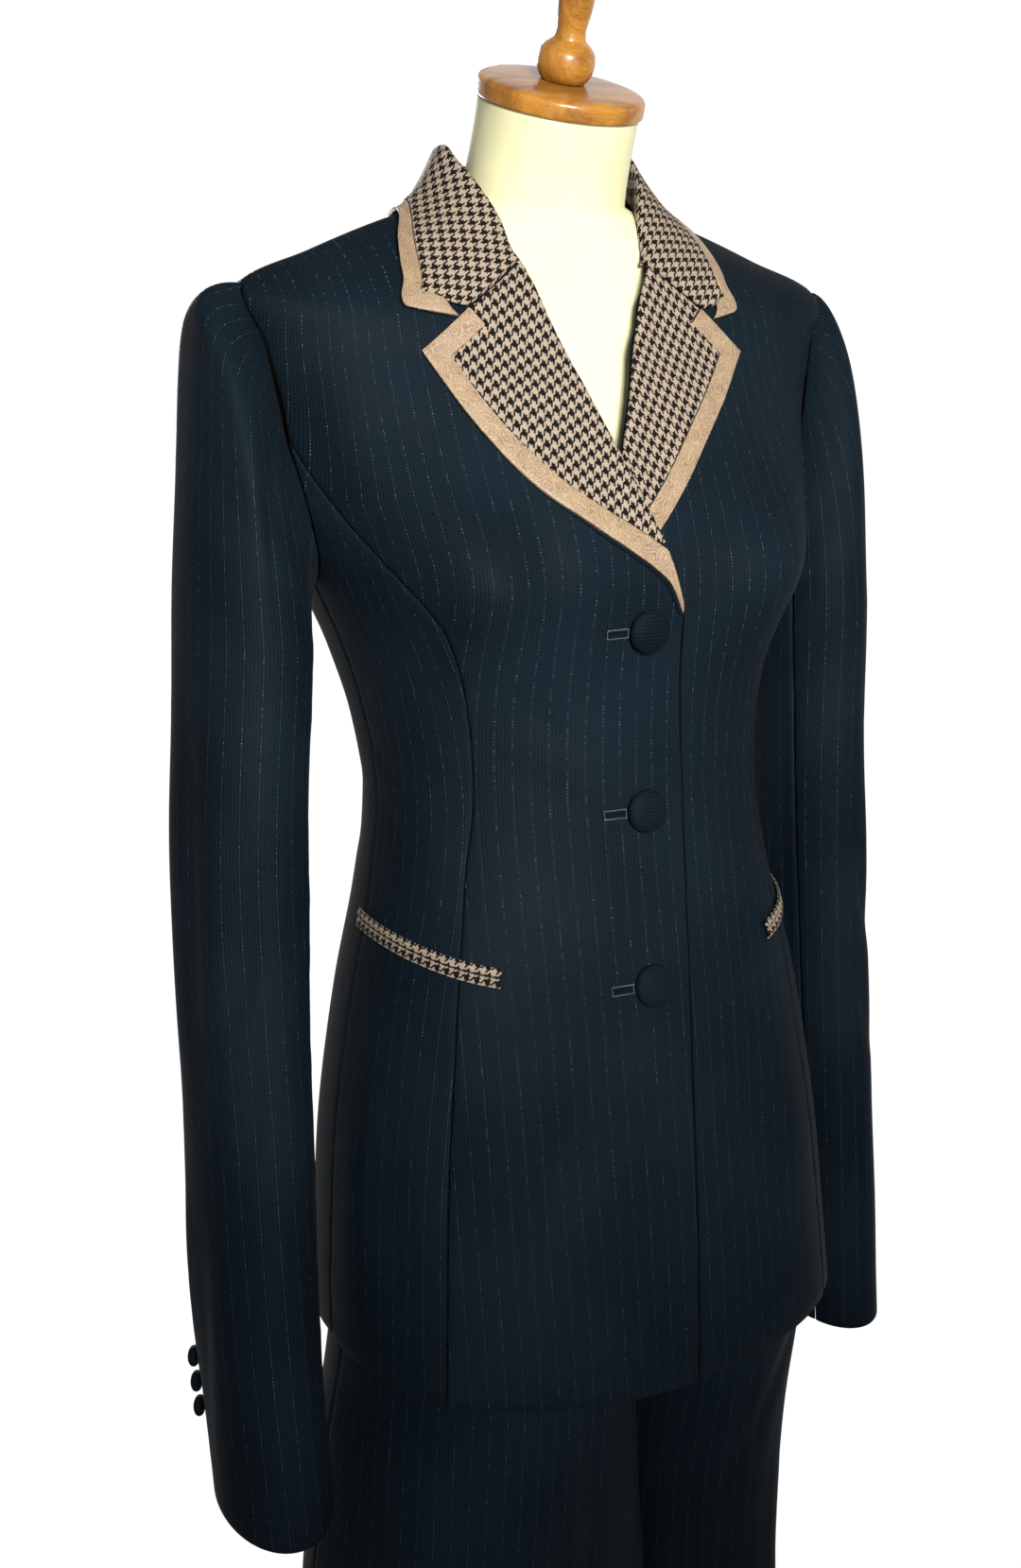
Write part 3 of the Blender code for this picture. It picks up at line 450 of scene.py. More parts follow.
def turned(name, centre, axis, profile, count, material):
    """A lathe-turned solid with a smooth profile."""
    profile = denser(profile, PROFILE_STEPS)
    profile[:, 1] = np.maximum(profile[:, 1], LEAST_RADIUS)
    radius = np.repeat(profile[:, 1:], count, 1)
    rings = lathe_rings(centre, axes_round(axis), profile[:, 0], radius)
    along = np.concatenate([[0], np.cumsum(np.linalg.norm(np.diff(profile, axis=0), axis=1))])
    around = circle_turns(count) * radius.max()
    uv = np.stack(np.broadcast_arrays(around[None, :], along[:, None]), -1)
    return stacked(name, rings, uv, material)


# Materials: node arithmetic, small helpers, then one function for each look


class Value:
    """What a node works out. Arithmetic on it adds the nodes for the sum."""

    def __init__(self, nodes, socket):
        self.nodes = nodes
        self.socket = socket

    def __add__(self, other):
        return self.nodes.math("ADD", self, other)

    def __sub__(self, other):
        return self.nodes.math("SUBTRACT", self, other)

    def __rsub__(self, other):
        return self.nodes.math("SUBTRACT", other, self)

    def __mul__(self, other):
        return self.nodes.math("MULTIPLY", self, other)

    def __truediv__(self, other):
        return self.nodes.math("DIVIDE", self, other)

    def __mod__(self, other):
        return self.nodes.math("FLOORED_MODULO", self, other)

    def __lt__(self, other):
        return self.nodes.math("LESS_THAN", self, other)

    def __gt__(self, other):
        return self.nodes.math("GREATER_THAN", self, other)

    def __abs__(self):
        return self.nodes.math("ABSOLUTE", self)

    def floor(self):
        return self.nodes.math("FLOOR", self)

    def fract(self):
        return self.nodes.math("FRACT", self)

    def sine(self):
        return self.nodes.math("SINE", self)


class Nodes:
    """A node tree, with short ways to add the nodes that the looks and the world need."""

    def __init__(self, tree):
        self.tree = tree

    def node(self, kind, **settings):
        made = self.tree.nodes.new(kind)
        for key, value in settings.items():
            setattr(made, key, value)
        return made

    def join(self, source, socket):
        if isinstance(source, Value):
            self.tree.links.new(source.socket, socket)
        else:
            socket.default_value = source

    def math(self, operation, a, b=0.0):
        made = self.node("ShaderNodeMath", operation=operation)
        self.join(a, made.inputs[0])
        self.join(b, made.inputs[1])
        return Value(self, made.outputs[0])

    def coordinates(self, kind):
        return Value(self, self.node("ShaderNodeTexCoord").outputs[kind])

    def uv(self):
        """The cloth coordinates: metres across the grain and along it."""
        made = self.node("ShaderNodeUVMap", uv_map=UV_NAME)
        split = self.node("ShaderNodeSeparateXYZ")
        self.tree.links.new(made.outputs[0], split.inputs[0])
        return Value(self, split.outputs[0]), Value(self, split.outputs[1])

    def place(self, x, y):
        made = self.node("ShaderNodeCombineXYZ")
        self.join(x, made.inputs[0])
        self.join(y, made.inputs[1])
        return Value(self, made.outputs[0])

    def scaled(self, vector, x, y, z):
        made = self.node("ShaderNodeVectorMath", operation="MULTIPLY")
        self.join(vector, made.inputs[0])
        made.inputs[1].default_value = (x, y, z)
        return Value(self, made.outputs[0])

    def dot(self, vector, direction):
        made = self.node("ShaderNodeVectorMath", operation="DOT_PRODUCT")
        self.join(vector, made.inputs[0])
        made.inputs[1].default_value = direction
        return Value(self, made.outputs["Value"])

    def noise(self, vector, scale, detail=2.0, roughness=0.5):
        made = self.node("ShaderNodeTexNoise")
        self.join(vector, made.inputs["Vector"])
        for key, number in (("Scale", scale), ("Detail", detail), ("Roughness", roughness)):
            made.inputs[key].default_value = number
        return Value(self, made.outputs["Fac"])

    def dice(self, x, y):
        """A throw from 0 to 1 for each whole x and y."""
        made = self.node("ShaderNodeTexWhiteNoise", noise_dimensions="2D")
        self.join(self.place(x, y), made.inputs["Vector"])
        return Value(self, made.outputs["Value"])

    def spread(self, value, low, high, to_low=0.0, to_high=1.0):
        """A smooth step of the value between low and high, from to_low up to to_high."""
        made = self.node("ShaderNodeMapRange", interpolation_type="SMOOTHSTEP")
        self.join(value, made.inputs["Value"])
        for key, number in (("From Min", low), ("From Max", high), ("To Min", to_low), ("To Max", to_high)):
            made.inputs[key].default_value = number
        return Value(self, made.outputs["Result"])

    def mix(self, share, first, second):
        made = self.node("ShaderNodeMix", data_type="RGBA")
        self.join(share, made.inputs["Factor"])
        for socket, value in ((made.inputs[6], first), (made.inputs[7], second)):
            self.join(value if isinstance(value, Value) else (*value, 1.0), socket)
        return Value(self, made.outputs[2])


class Look(Nodes):
    """A material with one principled shader. A keyword sets the socket of that name, _ being a space."""

    def __init__(self, name, roughness, **settings):
        self.material = bpy.data.materials.new(name)
        self.material.use_nodes = True
        super().__init__(self.material.node_tree)
        self.shader = self.tree.nodes["Principled BSDF"]
        self.shader.inputs["Roughness"].default_value = roughness
        for socket, value in settings.items():
            self.shader.inputs[socket.replace("_", " ")].default_value = value

    def colour(self, value):
        self.join(value, self.shader.inputs["Base Color"])

    def rough(self, value):
        self.join(value, self.shader.inputs["Roughness"])

    def bump(self, height, distance, strength):
        made = self.node("ShaderNodeBump")
        made.inputs["Strength"].default_value = strength
        made.inputs["Distance"].default_value = distance
        self.join(height, made.inputs["Height"])
        self.tree.links.new(made.outputs[0], self.shader.inputs["Normal"])


def shaded(colour, shade):
    return tuple(shade * c for c in colour)


STRIPE_PITCH = 0.0104
STRIPE_WIDTH = 0.00046
STRIPE_DOT = 0.0019
RIB_PITCH = 0.0021
TWILL_PITCH = 0.00085
TWILL_SLOPE = 0.8
WOOL_DARK = (0.0006, 0.0019, 0.0034)
WOOL_LIT = (0.0041, 0.0080, 0.0114)
WOOL_THREAD = (0.062, 0.075, 0.085)


def wool_look(name="suit_wool", dots=1.0, shade=1.0):
    """Near-black navy suiting: a fine twill, faint ribs, and pinstripes of broken silvery thread."""
    look = Look(name, 0.62, Sheen_Weight=0.004, Sheen_Roughness=0.40, Specular_IOR_Level=0.025)
    u, v = look.uv()
    rib = (u * (FULL_TURN / RIB_PITCH)).sine()
    twill = ((u + v * TWILL_SLOPE) * (FULL_TURN / TWILL_PITCH)).sine()
    grain = look.noise(look.place(u, v * 0.55), 2600.0, 2.0, 0.7)
    wander = look.noise(look.place(u, v), 9.0, 1.0)
    tone = rib * 0.20 + twill * 0.14 + look.spread(grain, 0.25, 0.75, -0.45, 0.55)
    tone = tone + look.spread(wander, 0.3, 0.7, 0.32, 0.68)
    cloth = look.mix(tone, shaded(WOOL_DARK, shade), shaded(WOOL_LIT, shade))
    across = u / STRIPE_PITCH
    stripe = across.floor()
    half = STRIPE_WIDTH / STRIPE_PITCH
    in_line = look.spread(abs(across.fract() - 0.5), half * 0.8, half * 0.3)
    shift = look.noise(look.place(stripe * 7.31, 0.0), 1.0, 0.0)
    along = v / STRIPE_DOT + shift * 37.0
    dash = look.spread(abs(along.fract() - 0.5), 0.30, 0.16)
    fading = look.noise(look.place(stripe * 3.7, v * 260.0), 1.0, 2.0, 0.8)
    bright = look.spread(fading, 0.42, 0.74, 0.04, 0.8)
    look.colour(look.mix(in_line * dash * (bright * dots), cloth, WOOL_THREAD))
    look.bump(twill * 0.35 + rib * 0.5 + grain * 1.2, 0.00005, 0.55)
    look.rough(look.spread(grain, 0.2, 0.8, 0.56, 0.72))
    return look.material


CHECK_THREAD = 0.00077
CHECK_LIGHT = (0.215, 0.172, 0.126)
CHECK_DARK = (0.0020, 0.0010, 0.0010)


def houndstooth_look():
    """Houndstooth as it is woven: four dark and four light threads each way in a 2/2 twill."""
    look = Look("houndstooth", 0.75, Sheen_Weight=0.01, Sheen_Roughness=0.5, Specular_IOR_Level=0.05)
    u, v = look.uv()
    x = u / CHECK_THREAD
    y = v / CHECK_THREAD
    warp = x.floor() % 8.0 < 3.5
    weft = y.floor() % 8.0 < 3.5
    over = (x.floor() + y.floor()) % 4.0 < 1.5
    under = 1.0 - over
    fuzz = look.spread(look.noise(look.place(u, v), 1900.0, 2.0, 0.7), 0.25, 0.75)
    light = look.mix(fuzz, shaded(CHECK_LIGHT, 0.80), CHECK_LIGHT)
    deep = look.mix(fuzz, CHECK_DARK, shaded(CHECK_DARK, 2.6))
    look.colour(look.mix(over * warp + under * weft, light, deep))
    round_x = (x.fract() * np.pi).sine()
    round_y = (y.fract() * np.pi).sine()
    look.bump(over * round_x + under * round_y, 0.00012, 0.8)
    return look.material


BAND_BASE = (0.160, 0.108, 0.062)
BAND_DEEP = (0.112, 0.070, 0.038)
BAND_PALE = (0.275, 0.205, 0.130)
SCROLL_WIDE = 0.0088
SCROLL_HIGH = 0.8 * SCROLL_WIDE
SCROLL_LINE = 0.0017
SCROLL_SWAY = 0.0016


def band_look():
    """Taupe satin with self-coloured jacquard scrolls: each cell of a staggered net holds one spiral."""
    look = Look("band_satin", 0.42, Sheen_Weight=0.03, Specular_IOR_Level=0.30)
    u, v = look.uv()
    place = look.place(u, v)
    sway_u = look.noise(place, 190.0, 1.0)
    sway_v = look.noise(look.place(v, u), 170.0, 1.0)
    row = (v + look.spread(sway_v, 0.2, 0.8, -SCROLL_SWAY, SCROLL_SWAY)) / SCROLL_HIGH
    stagger = row.floor() % 2.0 * 0.5
    column = (u + look.spread(sway_u, 0.2, 0.8, -SCROLL_SWAY, SCROLL_SWAY)) / SCROLL_WIDE + stagger
    x = (column.fract() - 0.5) * SCROLL_WIDE
    y = (row.fract() - 0.5) * SCROLL_HIGH
    radius = look.math("SQRT", x * x + y * y)
    dice = look.dice(column.floor(), row.floor())
    hand = (dice > 0.5) * 2.0 - 1.0
    angle = look.math("ARCTAN2", y, x) * hand
    turn = angle / FULL_TURN + radius / SCROLL_LINE + dice
    scroll = look.spread(abs(turn.fract() - 0.5), 0.27, 0.13) * look.spread(radius, 0.0050, 0.0040)
    vine = look.spread(abs(look.noise(place, 520.0, 1.5) - 0.5), 0.045, 0.015)
    figure = look.math("MAXIMUM", scroll, vine * look.spread(radius, 0.0034, 0.0044))
    ground = look.mix(look.spread(look.noise(place, 85.0, 2.0), 0.3, 0.7), BAND_DEEP, BAND_BASE)
    look.colour(look.mix(figure * 0.55, ground, BAND_PALE))
    look.bump(figure + look.noise(place, 3000.0, 1.0) * 0.5, 0.00010, 0.7)
    look.rough(look.spread(figure, 0.0, 1.0, 0.52, 0.34))
    return look.material


JERSEY_COLOURS = ((0.430, 0.408, 0.235), (0.465, 0.442, 0.260))
WALE_PITCH = 0.0011
COURSE_PITCH = 0.0009


def jersey_look():
    """The form's cream cover: a close, matte knit."""
    look = Look("form_jersey", 0.82, Sheen_Weight=0.05, Sheen_Roughness=0.5, Specular_IOR_Level=0.15)
    u, v = look.uv()
    wale = (u * (FULL_TURN / WALE_PITCH)).sine()
    course = (v * (FULL_TURN / COURSE_PITCH)).sine()
    patchy = look.noise(look.place(u, v), 14.0, 3.0)
    look.colour(look.mix(look.spread(patchy, 0.25, 0.75), *JERSEY_COLOURS))
    look.bump(wale * course, 0.00005, 0.35)
    return look.material


WOOD_COLOURS = ((0.105, 0.035, 0.003), (0.290, 0.125, 0.016))


def wood_look():
    """Amber turned wood under a gloss varnish."""
    look = Look(
        "form_wood", 0.40, Specular_IOR_Level=0.25, Coat_Weight=0.45, Coat_Roughness=0.08, Coat_IOR=1.45,
    )
    place = look.coordinates("Object")
    band = look.noise(look.scaled(place, 26.0, 120.0, 26.0), 1.0, 4.0, 0.6)
    streak = look.noise(look.scaled(place, 60.0, 900.0, 900.0), 1.0, 3.0, 0.6)
    look.colour(look.mix(look.spread(band * 0.75 + streak * 0.35, 0.36, 0.74), *WOOD_COLOURS))
    look.bump(streak, 0.00006, 0.25)
    return look.material


METAL_COLOURS = ((0.035, 0.036, 0.040), (0.060, 0.061, 0.066))


def metal_look():
    """The stand's dark grey satin paint, worn a little paler here and there."""
    look = Look("form_metal", 0.42, Specular_IOR_Level=0.5, Coat_Weight=0.3, Coat_Roughness=0.25)
    place = look.coordinates("Object")
    look.colour(look.mix(look.spread(look.noise(place, 22.0, 4.0), 0.3, 0.75), *METAL_COLOURS))
    look.rough(look.spread(look.noise(place, 60.0, 3.0), 0.3, 0.7, 0.34, 0.50))
    look.bump(look.noise(place, 900.0, 2.0), 0.00004, 0.4)
    return look.material


THREAD = (0.010, 0.013, 0.017)


def thread_look():
    """Dark sewing thread, streaked a little darker at random along its length: painted shade for the hollows
    between its plies.
    """
    look = Look("dark_thread", 0.6, Sheen_Weight=0.3)
    twist_shade = look.noise(look.scaled(look.coordinates("Object"), 2600.0, 2600.0, 900.0), 1.0, 1.0)
    look.colour(look.mix(look.spread(twist_shade, 0.3, 0.7), shaded(THREAD, 0.6), THREAD))
    return look.material


WOOL = wool_look()
# A darker copy of the suiting without pinstripes, for buttons and buttonholes; under the right lapel its
# darkness is partly painted shade
BUTTON_WOOL = wool_look("button_wool", dots=0.0, shade=0.80)
# A near-black copy of the suiting without pinstripes: painted shade along the right front's edge
EDGE_SHADE_WOOL = wool_look("edge_wool", dots=0.0, shade=0.20)
HOUNDSTOOTH = houndstooth_look()
BAND = band_look()
JERSEY = jersey_look()
WOOD = wood_look()
METAL = metal_look()
DARK_THREAD = thread_look()


# Putting pieces into the frame


def dress(piece, slot, *nodes):
    """The piece rides on the one body and stands for these solids, which it hides. The slot is not used."""
    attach(piece, "root")
    if nodes:
        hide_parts(*nodes)
    return piece


# Jacket body

# Grid steps: between two points of a seam, up an armhole and a shoulder, and across a panel near its edges
ROW_STEPS = 8
TOP_STEPS = 12
SHOULDER_COLUMNS = 6
NECK_COLUMNS = 4
EDGE_STEPS = (0.0, 0.0035, 0.0085, 0.0165, 0.0290)
# How many points of the princess seam the lap has rows for, from the hem to the break
LAP_POINTS = 10
ROLL_POINTS = 9


def clustered(count):
    """Places from 0 to 1 with finer steps near both ends, where the seams turn in."""
    middle = np.linspace(EDGE_STEPS[-1], 1 - EDGE_STEPS[-1], count)
    low = np.array(EDGE_STEPS[:-1])
    return np.concatenate([low, middle, 1 - low[::-1]])


def at_columns(grid, places):
    """The grid's rows sampled at these places across, by straight lines between its columns."""
    at = places * (grid.shape[1] - 1)
    low = np.minimum(at.astype(int), grid.shape[1] - 2)
    t = (at - low)[None, :, None]
    return (1 - t) * grid[:, low] + t * grid[:, low + 1]


def front_edge(side):
    """The edge of one front: straight down the lap, then along the roll line to the neck."""
    roll = ROLL[side]
    top = front_place(roll[0, 0], roll[0, 1])[1]
    levels = top * PRINCESS[:LAP_POINTS, 1] / PRINCESS[LAP_POINTS - 1, 1]
    past = np.interp(levels, EDGE_X[:, 0], EDGE_X[:, 1])
    phi = -np.degrees(np.arcsin(past / (rows(BODY, levels)[:, 0] * 1.1)))
    low = np.stack([phi, levels], -1)
    along = resample(roll, ROLL_POINTS)[1:]
    high = np.stack(front_place(along[:, 0], along[:, 1]), -1)
    below = denser(np.concatenate([low, high]), ROW_STEPS)
    neck = denser(np.concatenate([high[-1:], NECK_FRONT]), ROW_STEPS)
    return np.concatenate([below, neck[1:]])


def side_seam():
    """The seam under the arm, with a point at each point of the princess seam."""
    return np.stack([np.full(len(PRINCESS), 90.0), PRINCESS[:, 1] * ARMPIT / PRINCESS[-1, 1]], -1)


LAP_END = 19.0
LAP_FADE = 2.2
LAP_GAP = 0.0012
BREAK_RISE = 0.0054
BREAK_LEVEL = 8.3


def lap_lift(phi, level):
    """How far the right front stands off the left one, most at the break, over the end of the left lapel."""
    near_edge = 1 / (1 + np.exp((phi - LAP_END) / LAP_FADE))
    at_break = bell((level - BREAK_LEVEL) / 0.95)
    return near_edge * (CLOTH + LAP_GAP + BREAK_RISE * at_break)


# Above this level threads hang plumb, out to this share of the half width. Beyond it they spread this much.
PLUMB_LEVEL = 9.0
PLUMB_REACH = 0.93
BEYOND_SPREAD = 1.4


def cloth_place(phi, level, grain):
    """Cloth coordinates in metres: across from the grain line, and up the grain line.

    Across follows the body's rings up to the bust. Above it a thread hangs plumb, at the same distance aside.
    """
    low = np.minimum(level, PLUMB_LEVEL)
    turn = np.linspace(0, 180, 181)
    ring_x = body(turn, PLUMB_LEVEL)[:, 0]
    quarter = slice(0, 91) if grain < 80 else slice(90, 181)
    reach = PLUMB_REACH * ring_x.max()
    aside = body(phi, level)[..., 0]
    order = np.argsort(ring_x[quarter])
    plumb = np.interp(np.minimum(aside, reach), ring_x[quarter][order], turn[quarter][order])
    at = np.where(level > PLUMB_LEVEL, plumb, phi)
    t = np.linspace(0, 1, 31)
    ring = body(grain + (at - grain)[..., None] * t, low[..., None])
    across = np.linalg.norm(np.diff(ring, axis=-2), axis=-1).sum(-1) * np.sign(at - grain)
    beyond = np.where(level > PLUMB_LEVEL, np.maximum(aside - reach, 0), 0)
    across = across + BEYOND_SPREAD * beyond * (1 if grain < 80 else -1)
    heights = np.linspace(0, NECK, 301)
    climb = np.linalg.norm(np.diff(body(np.full(len(heights), float(grain)), heights), axis=0), axis=1)
    up = np.interp(level, heights, np.concatenate([[0], np.cumsum(climb)]))
    return np.stack([across, up], -1)


# Soft creases of the jacket, one row each: three or more (degrees, level) places, depth and half width. A
# negative depth is a ridge. The right side is the one nearest the camera.
JACKET_CREASES = {
    "right": (
        (((64, 11.0), (67, 10.2), (66, 9.3), (61, 8.7)), 0.0022, 0.017),
        (((10, 4.9), (24, 5.2), (38, 5.6)), 0.0007, 0.007),
        (((8, 5.5), (22, 5.9), (34, 6.5)), 0.0006, 0.008),
        (((9, 3.0), (19, 2.2), (30, 1.1)), 0.0016, 0.020),
        (((26, 3.1), (34, 2.0), (40, 0.8)), -0.0012, 0.018),
        (((70, 4.6), (82, 4.9), (97, 5.0)), 0.0010, 0.007),
        (((72, 5.4), (84, 5.6), (96, 5.8)), 0.0009, 0.007),
        (((60, 0.4), (63, 1.4), (66, 2.6)), 0.0015, 0.016),
        (((80, 0.3), (78, 1.5), (76, 2.9)), -0.0014, 0.015),
        (((30, 8.8), (40, 9.6), (52, 10.6)), 0.0008, 0.012),
        (((110, 4.5), (135, 4.7), (162, 4.6)), 0.0012, 0.008),
        (((106, 5.2), (132, 5.4), (166, 5.5)), 0.0013, 0.009),
        (((112, 6.2), (130, 6.5), (150, 6.9)), 0.0009, 0.010),
        (((120, 0.3), (122, 1.4), (125, 2.8)), 0.0018, 0.018),
        (((148, 0.2), (147, 1.5), (146, 3.0)), -0.0015, 0.018),
        (((118, 8.6), (126, 9.4), (133, 10.2)), 0.0014, 0.014),
    ),
    "left": (
        (((64, 11.0), (67, 10.2), (66, 9.3), (61, 8.7)), 0.0020, 0.016),
        (((12, 5.0), (27, 5.2), (40, 5.3)), 0.0007, 0.007),
        (((14, 5.8), (26, 6.0), (36, 6.6)), 0.0006, 0.008),
        (((14, 2.9), (22, 2.0), (28, 1.0)), 0.0014, 0.020),
        (((33, 3.0), (38, 1.8), (42, 0.7)), -0.0011, 0.018),
        (((68, 4.7), (81, 5.0), (95, 5.1)), 0.0011, 0.007),
        (((70, 5.6), (83, 5.7), (97, 5.8)), 0.0008, 0.007),
        (((62, 0.3), (64, 1.3), (68, 2.5)), 0.0013, 0.015),
        (((84, 0.3), (81, 1.6), (79, 3.0)), -0.0013, 0.015),
        (((108, 4.6), (134, 4.6), (160, 4.8)), 0.0011, 0.008),
        (((110, 5.4), (134, 5.5), (168, 5.3)), 0.0012, 0.009),
        (((114, 6.4), (132, 6.6), (152, 7.1)), 0.0009, 0.010),
        (((118, 0.3), (121, 1.6), (123, 2.9)), 0.0017, 0.018),
        (((144, 0.2), (145, 1.4), (147, 2.8)), -0.0014, 0.018),
        (((119, 8.7), (127, 9.3), (135, 10.4)), 0.0013, 0.014),
    ),
}
# How much deeper the creases are pressed than their rows say
JACKET_FOLDS = 1.4
SEAM_DIP = 0.0007
SEAM_WIDTH = 0.0016
PUCKER = 0.00028
PUCKER_PITCH = 0.0052
PUCKER_REACH = 0.009


def seam_relief(points, normals, seams, seed):
    """The panel turned in along its named side seams, with small uneven puckers beside them."""
    moved = points
    for letter in seams:
        start = 0 if letter == "l" else points.shape[1] - 1
        far = np.abs(lengths(points, 1, start))
        along = lengths(points, 0)
        waves = ripple(along / PUCKER_PITCH, seed + start) * bell(far / PUCKER_REACH)
        sink = SEAM_DIP * bell(far / SEAM_WIDTH) + PUCKER * waves
        moved = moved - sink[..., None] * normals
    return moved


def unevenness(points, amount=0.00035):
    """A slight waviness of hanging cloth, from where each point is."""
    x, y, z = np.moveaxis(points, -1, 0)
    broad = np.sin(31 * x + 17 * z + 0.6) * np.sin(27 * y - 21 * z)
    fine = np.sin(53 * z + 38 * x + 22 * y)
    return amount * (broad + 0.6 * fine)


def jacket_panel(name, places, side, grain, seams, columns, lift=None):
    """One panel of the jacket from its (degrees, level) grid, creased, turned in at its seams and dressed."""
    places = at_columns(places, clustered(columns))
    phi = places[..., 0]
    level = places[..., 1]
    outer = body(phi, level)
    normals = body_normal(phi, level)
    if lift is not None:
        outer = outer + lift(phi, level)[..., None] * normals
    creases = [
        (body(*np.transpose(path)), JACKET_FOLDS * depth, width)
        for path, depth, width in JACKET_CREASES[side]
    ]
    outer = creased(outer, normals, creases)
    outer = outer - unevenness(outer)[..., None] * normals
    outer = seam_relief(outer, normals, seams, grain)
    outer = pull_edges(outer, SEAM / 2)
    uv = cloth_place(phi, level, grain)
    outer, normals = on_side(side, outer, normals)
    if side == "right":
        uv = uv * np.array((-1.0, 1.0))
    piece = dress(cloth_sheet(name + "_cloth", outer, normals, uv, WOOL), "suit_wool", name)


def add_jacket_body():
    across = SHOULDER_COLUMNS * TOP_STEPS + 1
    princess = denser(PRINCESS, ROW_STEPS)
    armhole_side = np.concatenate([princess, denser(ARMHOLE_HIGH, ROW_STEPS)[1:]])
    shoulder = line((90.0, NECK), (90.0, TIP), across)
    seam = denser(side_seam(), ROW_STEPS)
    low = denser(ARMHOLE_LOW, TOP_STEPS)
    side_front = patch(princess, seam, line(PRINCESS[0], seam[0], len(low)), low)
    back_side = np.concatenate([seam, denser(ARMHOLE_BACK, ROW_STEPS)[1:]])
    centre = line((180.0, 0.0), (180.0, NECK), len(back_side))
    neck = line((90.0, NECK), (180.0, NECK), NECK_COLUMNS * TOP_STEPS + 1)
    top = np.concatenate([shoulder[::-1], neck[1:]])
    back = patch(back_side, centre, line((90.0, 0.0), (180.0, 0.0), len(top)), top)
    for side in ("left", "right"):
        edge = front_edge(side)
        front = patch(edge, armhole_side, line(edge[0], PRINCESS[0], across), shoulder)
        jacket_panel(f"{side}_front", front, side, 0.0, "r", 70, lap_lift if side == "right" else None)
        jacket_panel(f"{side}_side_front", side_front, side, 70.0, "lr", 34)
        jacket_panel(f"{side}_back", back, side, 180.0, "lr", 84)


# Lapels and the turned edges of the right front

TRIM_WIDTH = 0.012
# Each lapel's outer edge in front view, from the break to the tip, and where its band ends at the gorge
LAPEL_EDGE = {
    "right": np.array((
        (-0.0212, 1.194), (-0.010, 1.212), (0.012, 1.227), (0.035, 1.242), (0.060, 1.263), (0.087, 1.301),
        (0.108, 1.342),
    )),
    "left": np.array((
        (-0.0212, 1.216), (-0.006, 1.226), (0.010, 1.238), (0.032, 1.261), (0.054, 1.287), (0.081, 1.318),
        (0.099, 1.341),
    )),
}
NOTCH = {"right": (0.0775, 1.3655), "left": (0.0735, 1.3660)}
LAPEL_THICK = 0.0018
LAPEL_LEAST = 0.004
LAPEL_LIFT = 0.0010
LAPEL_COLUMNS = 40
# The height and width of the soft rolls: at the lapel's fold, and at its band's outer and inner edges
LAPEL_ROLL = (0.0014, 0.004)
BAND_ROLL_OUT = (0.0007, 0.0022)
BAND_ROLL_IN = (0.0004, 0.0018)
# Steps of the lapel's outer edge from break to tip and from tip to gorge, and the grid's steps in each
LAPEL_TIP = 11
GORGE_STEPS = 3
LAPEL_STEPS = 8
# How far each lapel's cloth is turned from the direction of its roll line, in degrees
GRAIN_TURN = {"right": -12.5, "left": -12.0}


def moved_in(path, distance):
    """The open path moved sideways by distance, with mitred corners."""
    step = unit(np.diff(path, axis=0))
    side = np.stack([-step[:, 1], step[:, 0]], -1)
    first = np.concatenate([side[:1], side])
    second = np.concatenate([side, side[-1:]])
    middle = unit(first + second)
    return path + distance * middle / np.maximum((middle * second).sum(-1, keepdims=True), 0.4)


def roll_x(side, z):
    """How far the roll line lies on its own side at a height."""
    return np.interp(z, ROLL[side][:, 1], ROLL[side][:, 0])


def lapel_paths(side):
    """The outer and inner lines of the lapel's band, from the break round the tip to the gorge."""
    low = resample(denser(LAPEL_EDGE[side], 10), LAPEL_TIP * LAPEL_STEPS + 1)
    high = resample(np.array((LAPEL_EDGE[side][-1], NOTCH[side])), GORGE_STEPS * LAPEL_STEPS + 1)
    outer = np.concatenate([low, high[1:]])
    coarse = np.concatenate([low[::LAPEL_STEPS], high[LAPEL_STEPS::LAPEL_STEPS]])
    inner_coarse = moved_in(coarse, TRIM_WIDTH)
    inner_coarse[0] = coarse[0] + np.array((0.0, TRIM_WIDTH / 2))
    inner_low = denser(inner_coarse[:LAPEL_TIP + 1], LAPEL_STEPS)
    inner_high = line(inner_coarse[LAPEL_TIP], inner_coarse[-1], len(high))
    inner = np.concatenate([inner_low, inner_high[1:]])
    inner[:, 0] = np.maximum(inner[:, 0], roll_x(side, inner[:, 1]) + SEAM)
    return outer, inner


def on_front(grid, side, height):
    """The grid of (x, z) places laid on the front at a height over it, with its normals, on its own side."""
    phi, level = front_place(grid[..., 0], grid[..., 1])
    normals = body_normal(phi, level)
    if side == "right":
        height = height + lap_lift(phi, level)
    points = body(phi, level) + np.broadcast_to(height, phi.shape)[..., None] * normals
    return on_side(side, points, normals)


def flat_cloth(points, along, turn_deg):
    """Cloth coordinates of a nearly flat piece: along and across a direction in its mean plane."""
    normal = unit(grid_normals(points).reshape(-1, 3).mean(0))
    along = unit(along - normal * (along @ normal))
    across = np.cross(along, normal)
    turn = np.radians(turn_deg)
    u = np.cos(turn) * across + np.sin(turn) * along
    v = np.cos(turn) * along - np.sin(turn) * across
    return np.stack([points @ u, points @ v], -1)


def path_cloth(points):
    """Cloth coordinates of a narrow band: across it and along its middle."""
    middle = points.mean(1, keepdims=True)
    along = np.broadcast_to(lengths(middle, 0), points.shape[:2])
    across = lengths(points, 1)
    return np.stack([across, along], -1)


def soft_roll(points, normals, edge, height, width):
    """The cloth bulged outwards near one edge, as a soft turned edge is."""
    axis = 1 if edge in "lr" else 0
    start = 0 if edge in "lb" else points.shape[axis] - 1
    far = np.abs(lengths(points, axis, start))
    bulge = height * np.sqrt(np.clip(far / width, 0, 1)) * bell(far / (3.5 * width))
    return points + bulge[..., None] * normals


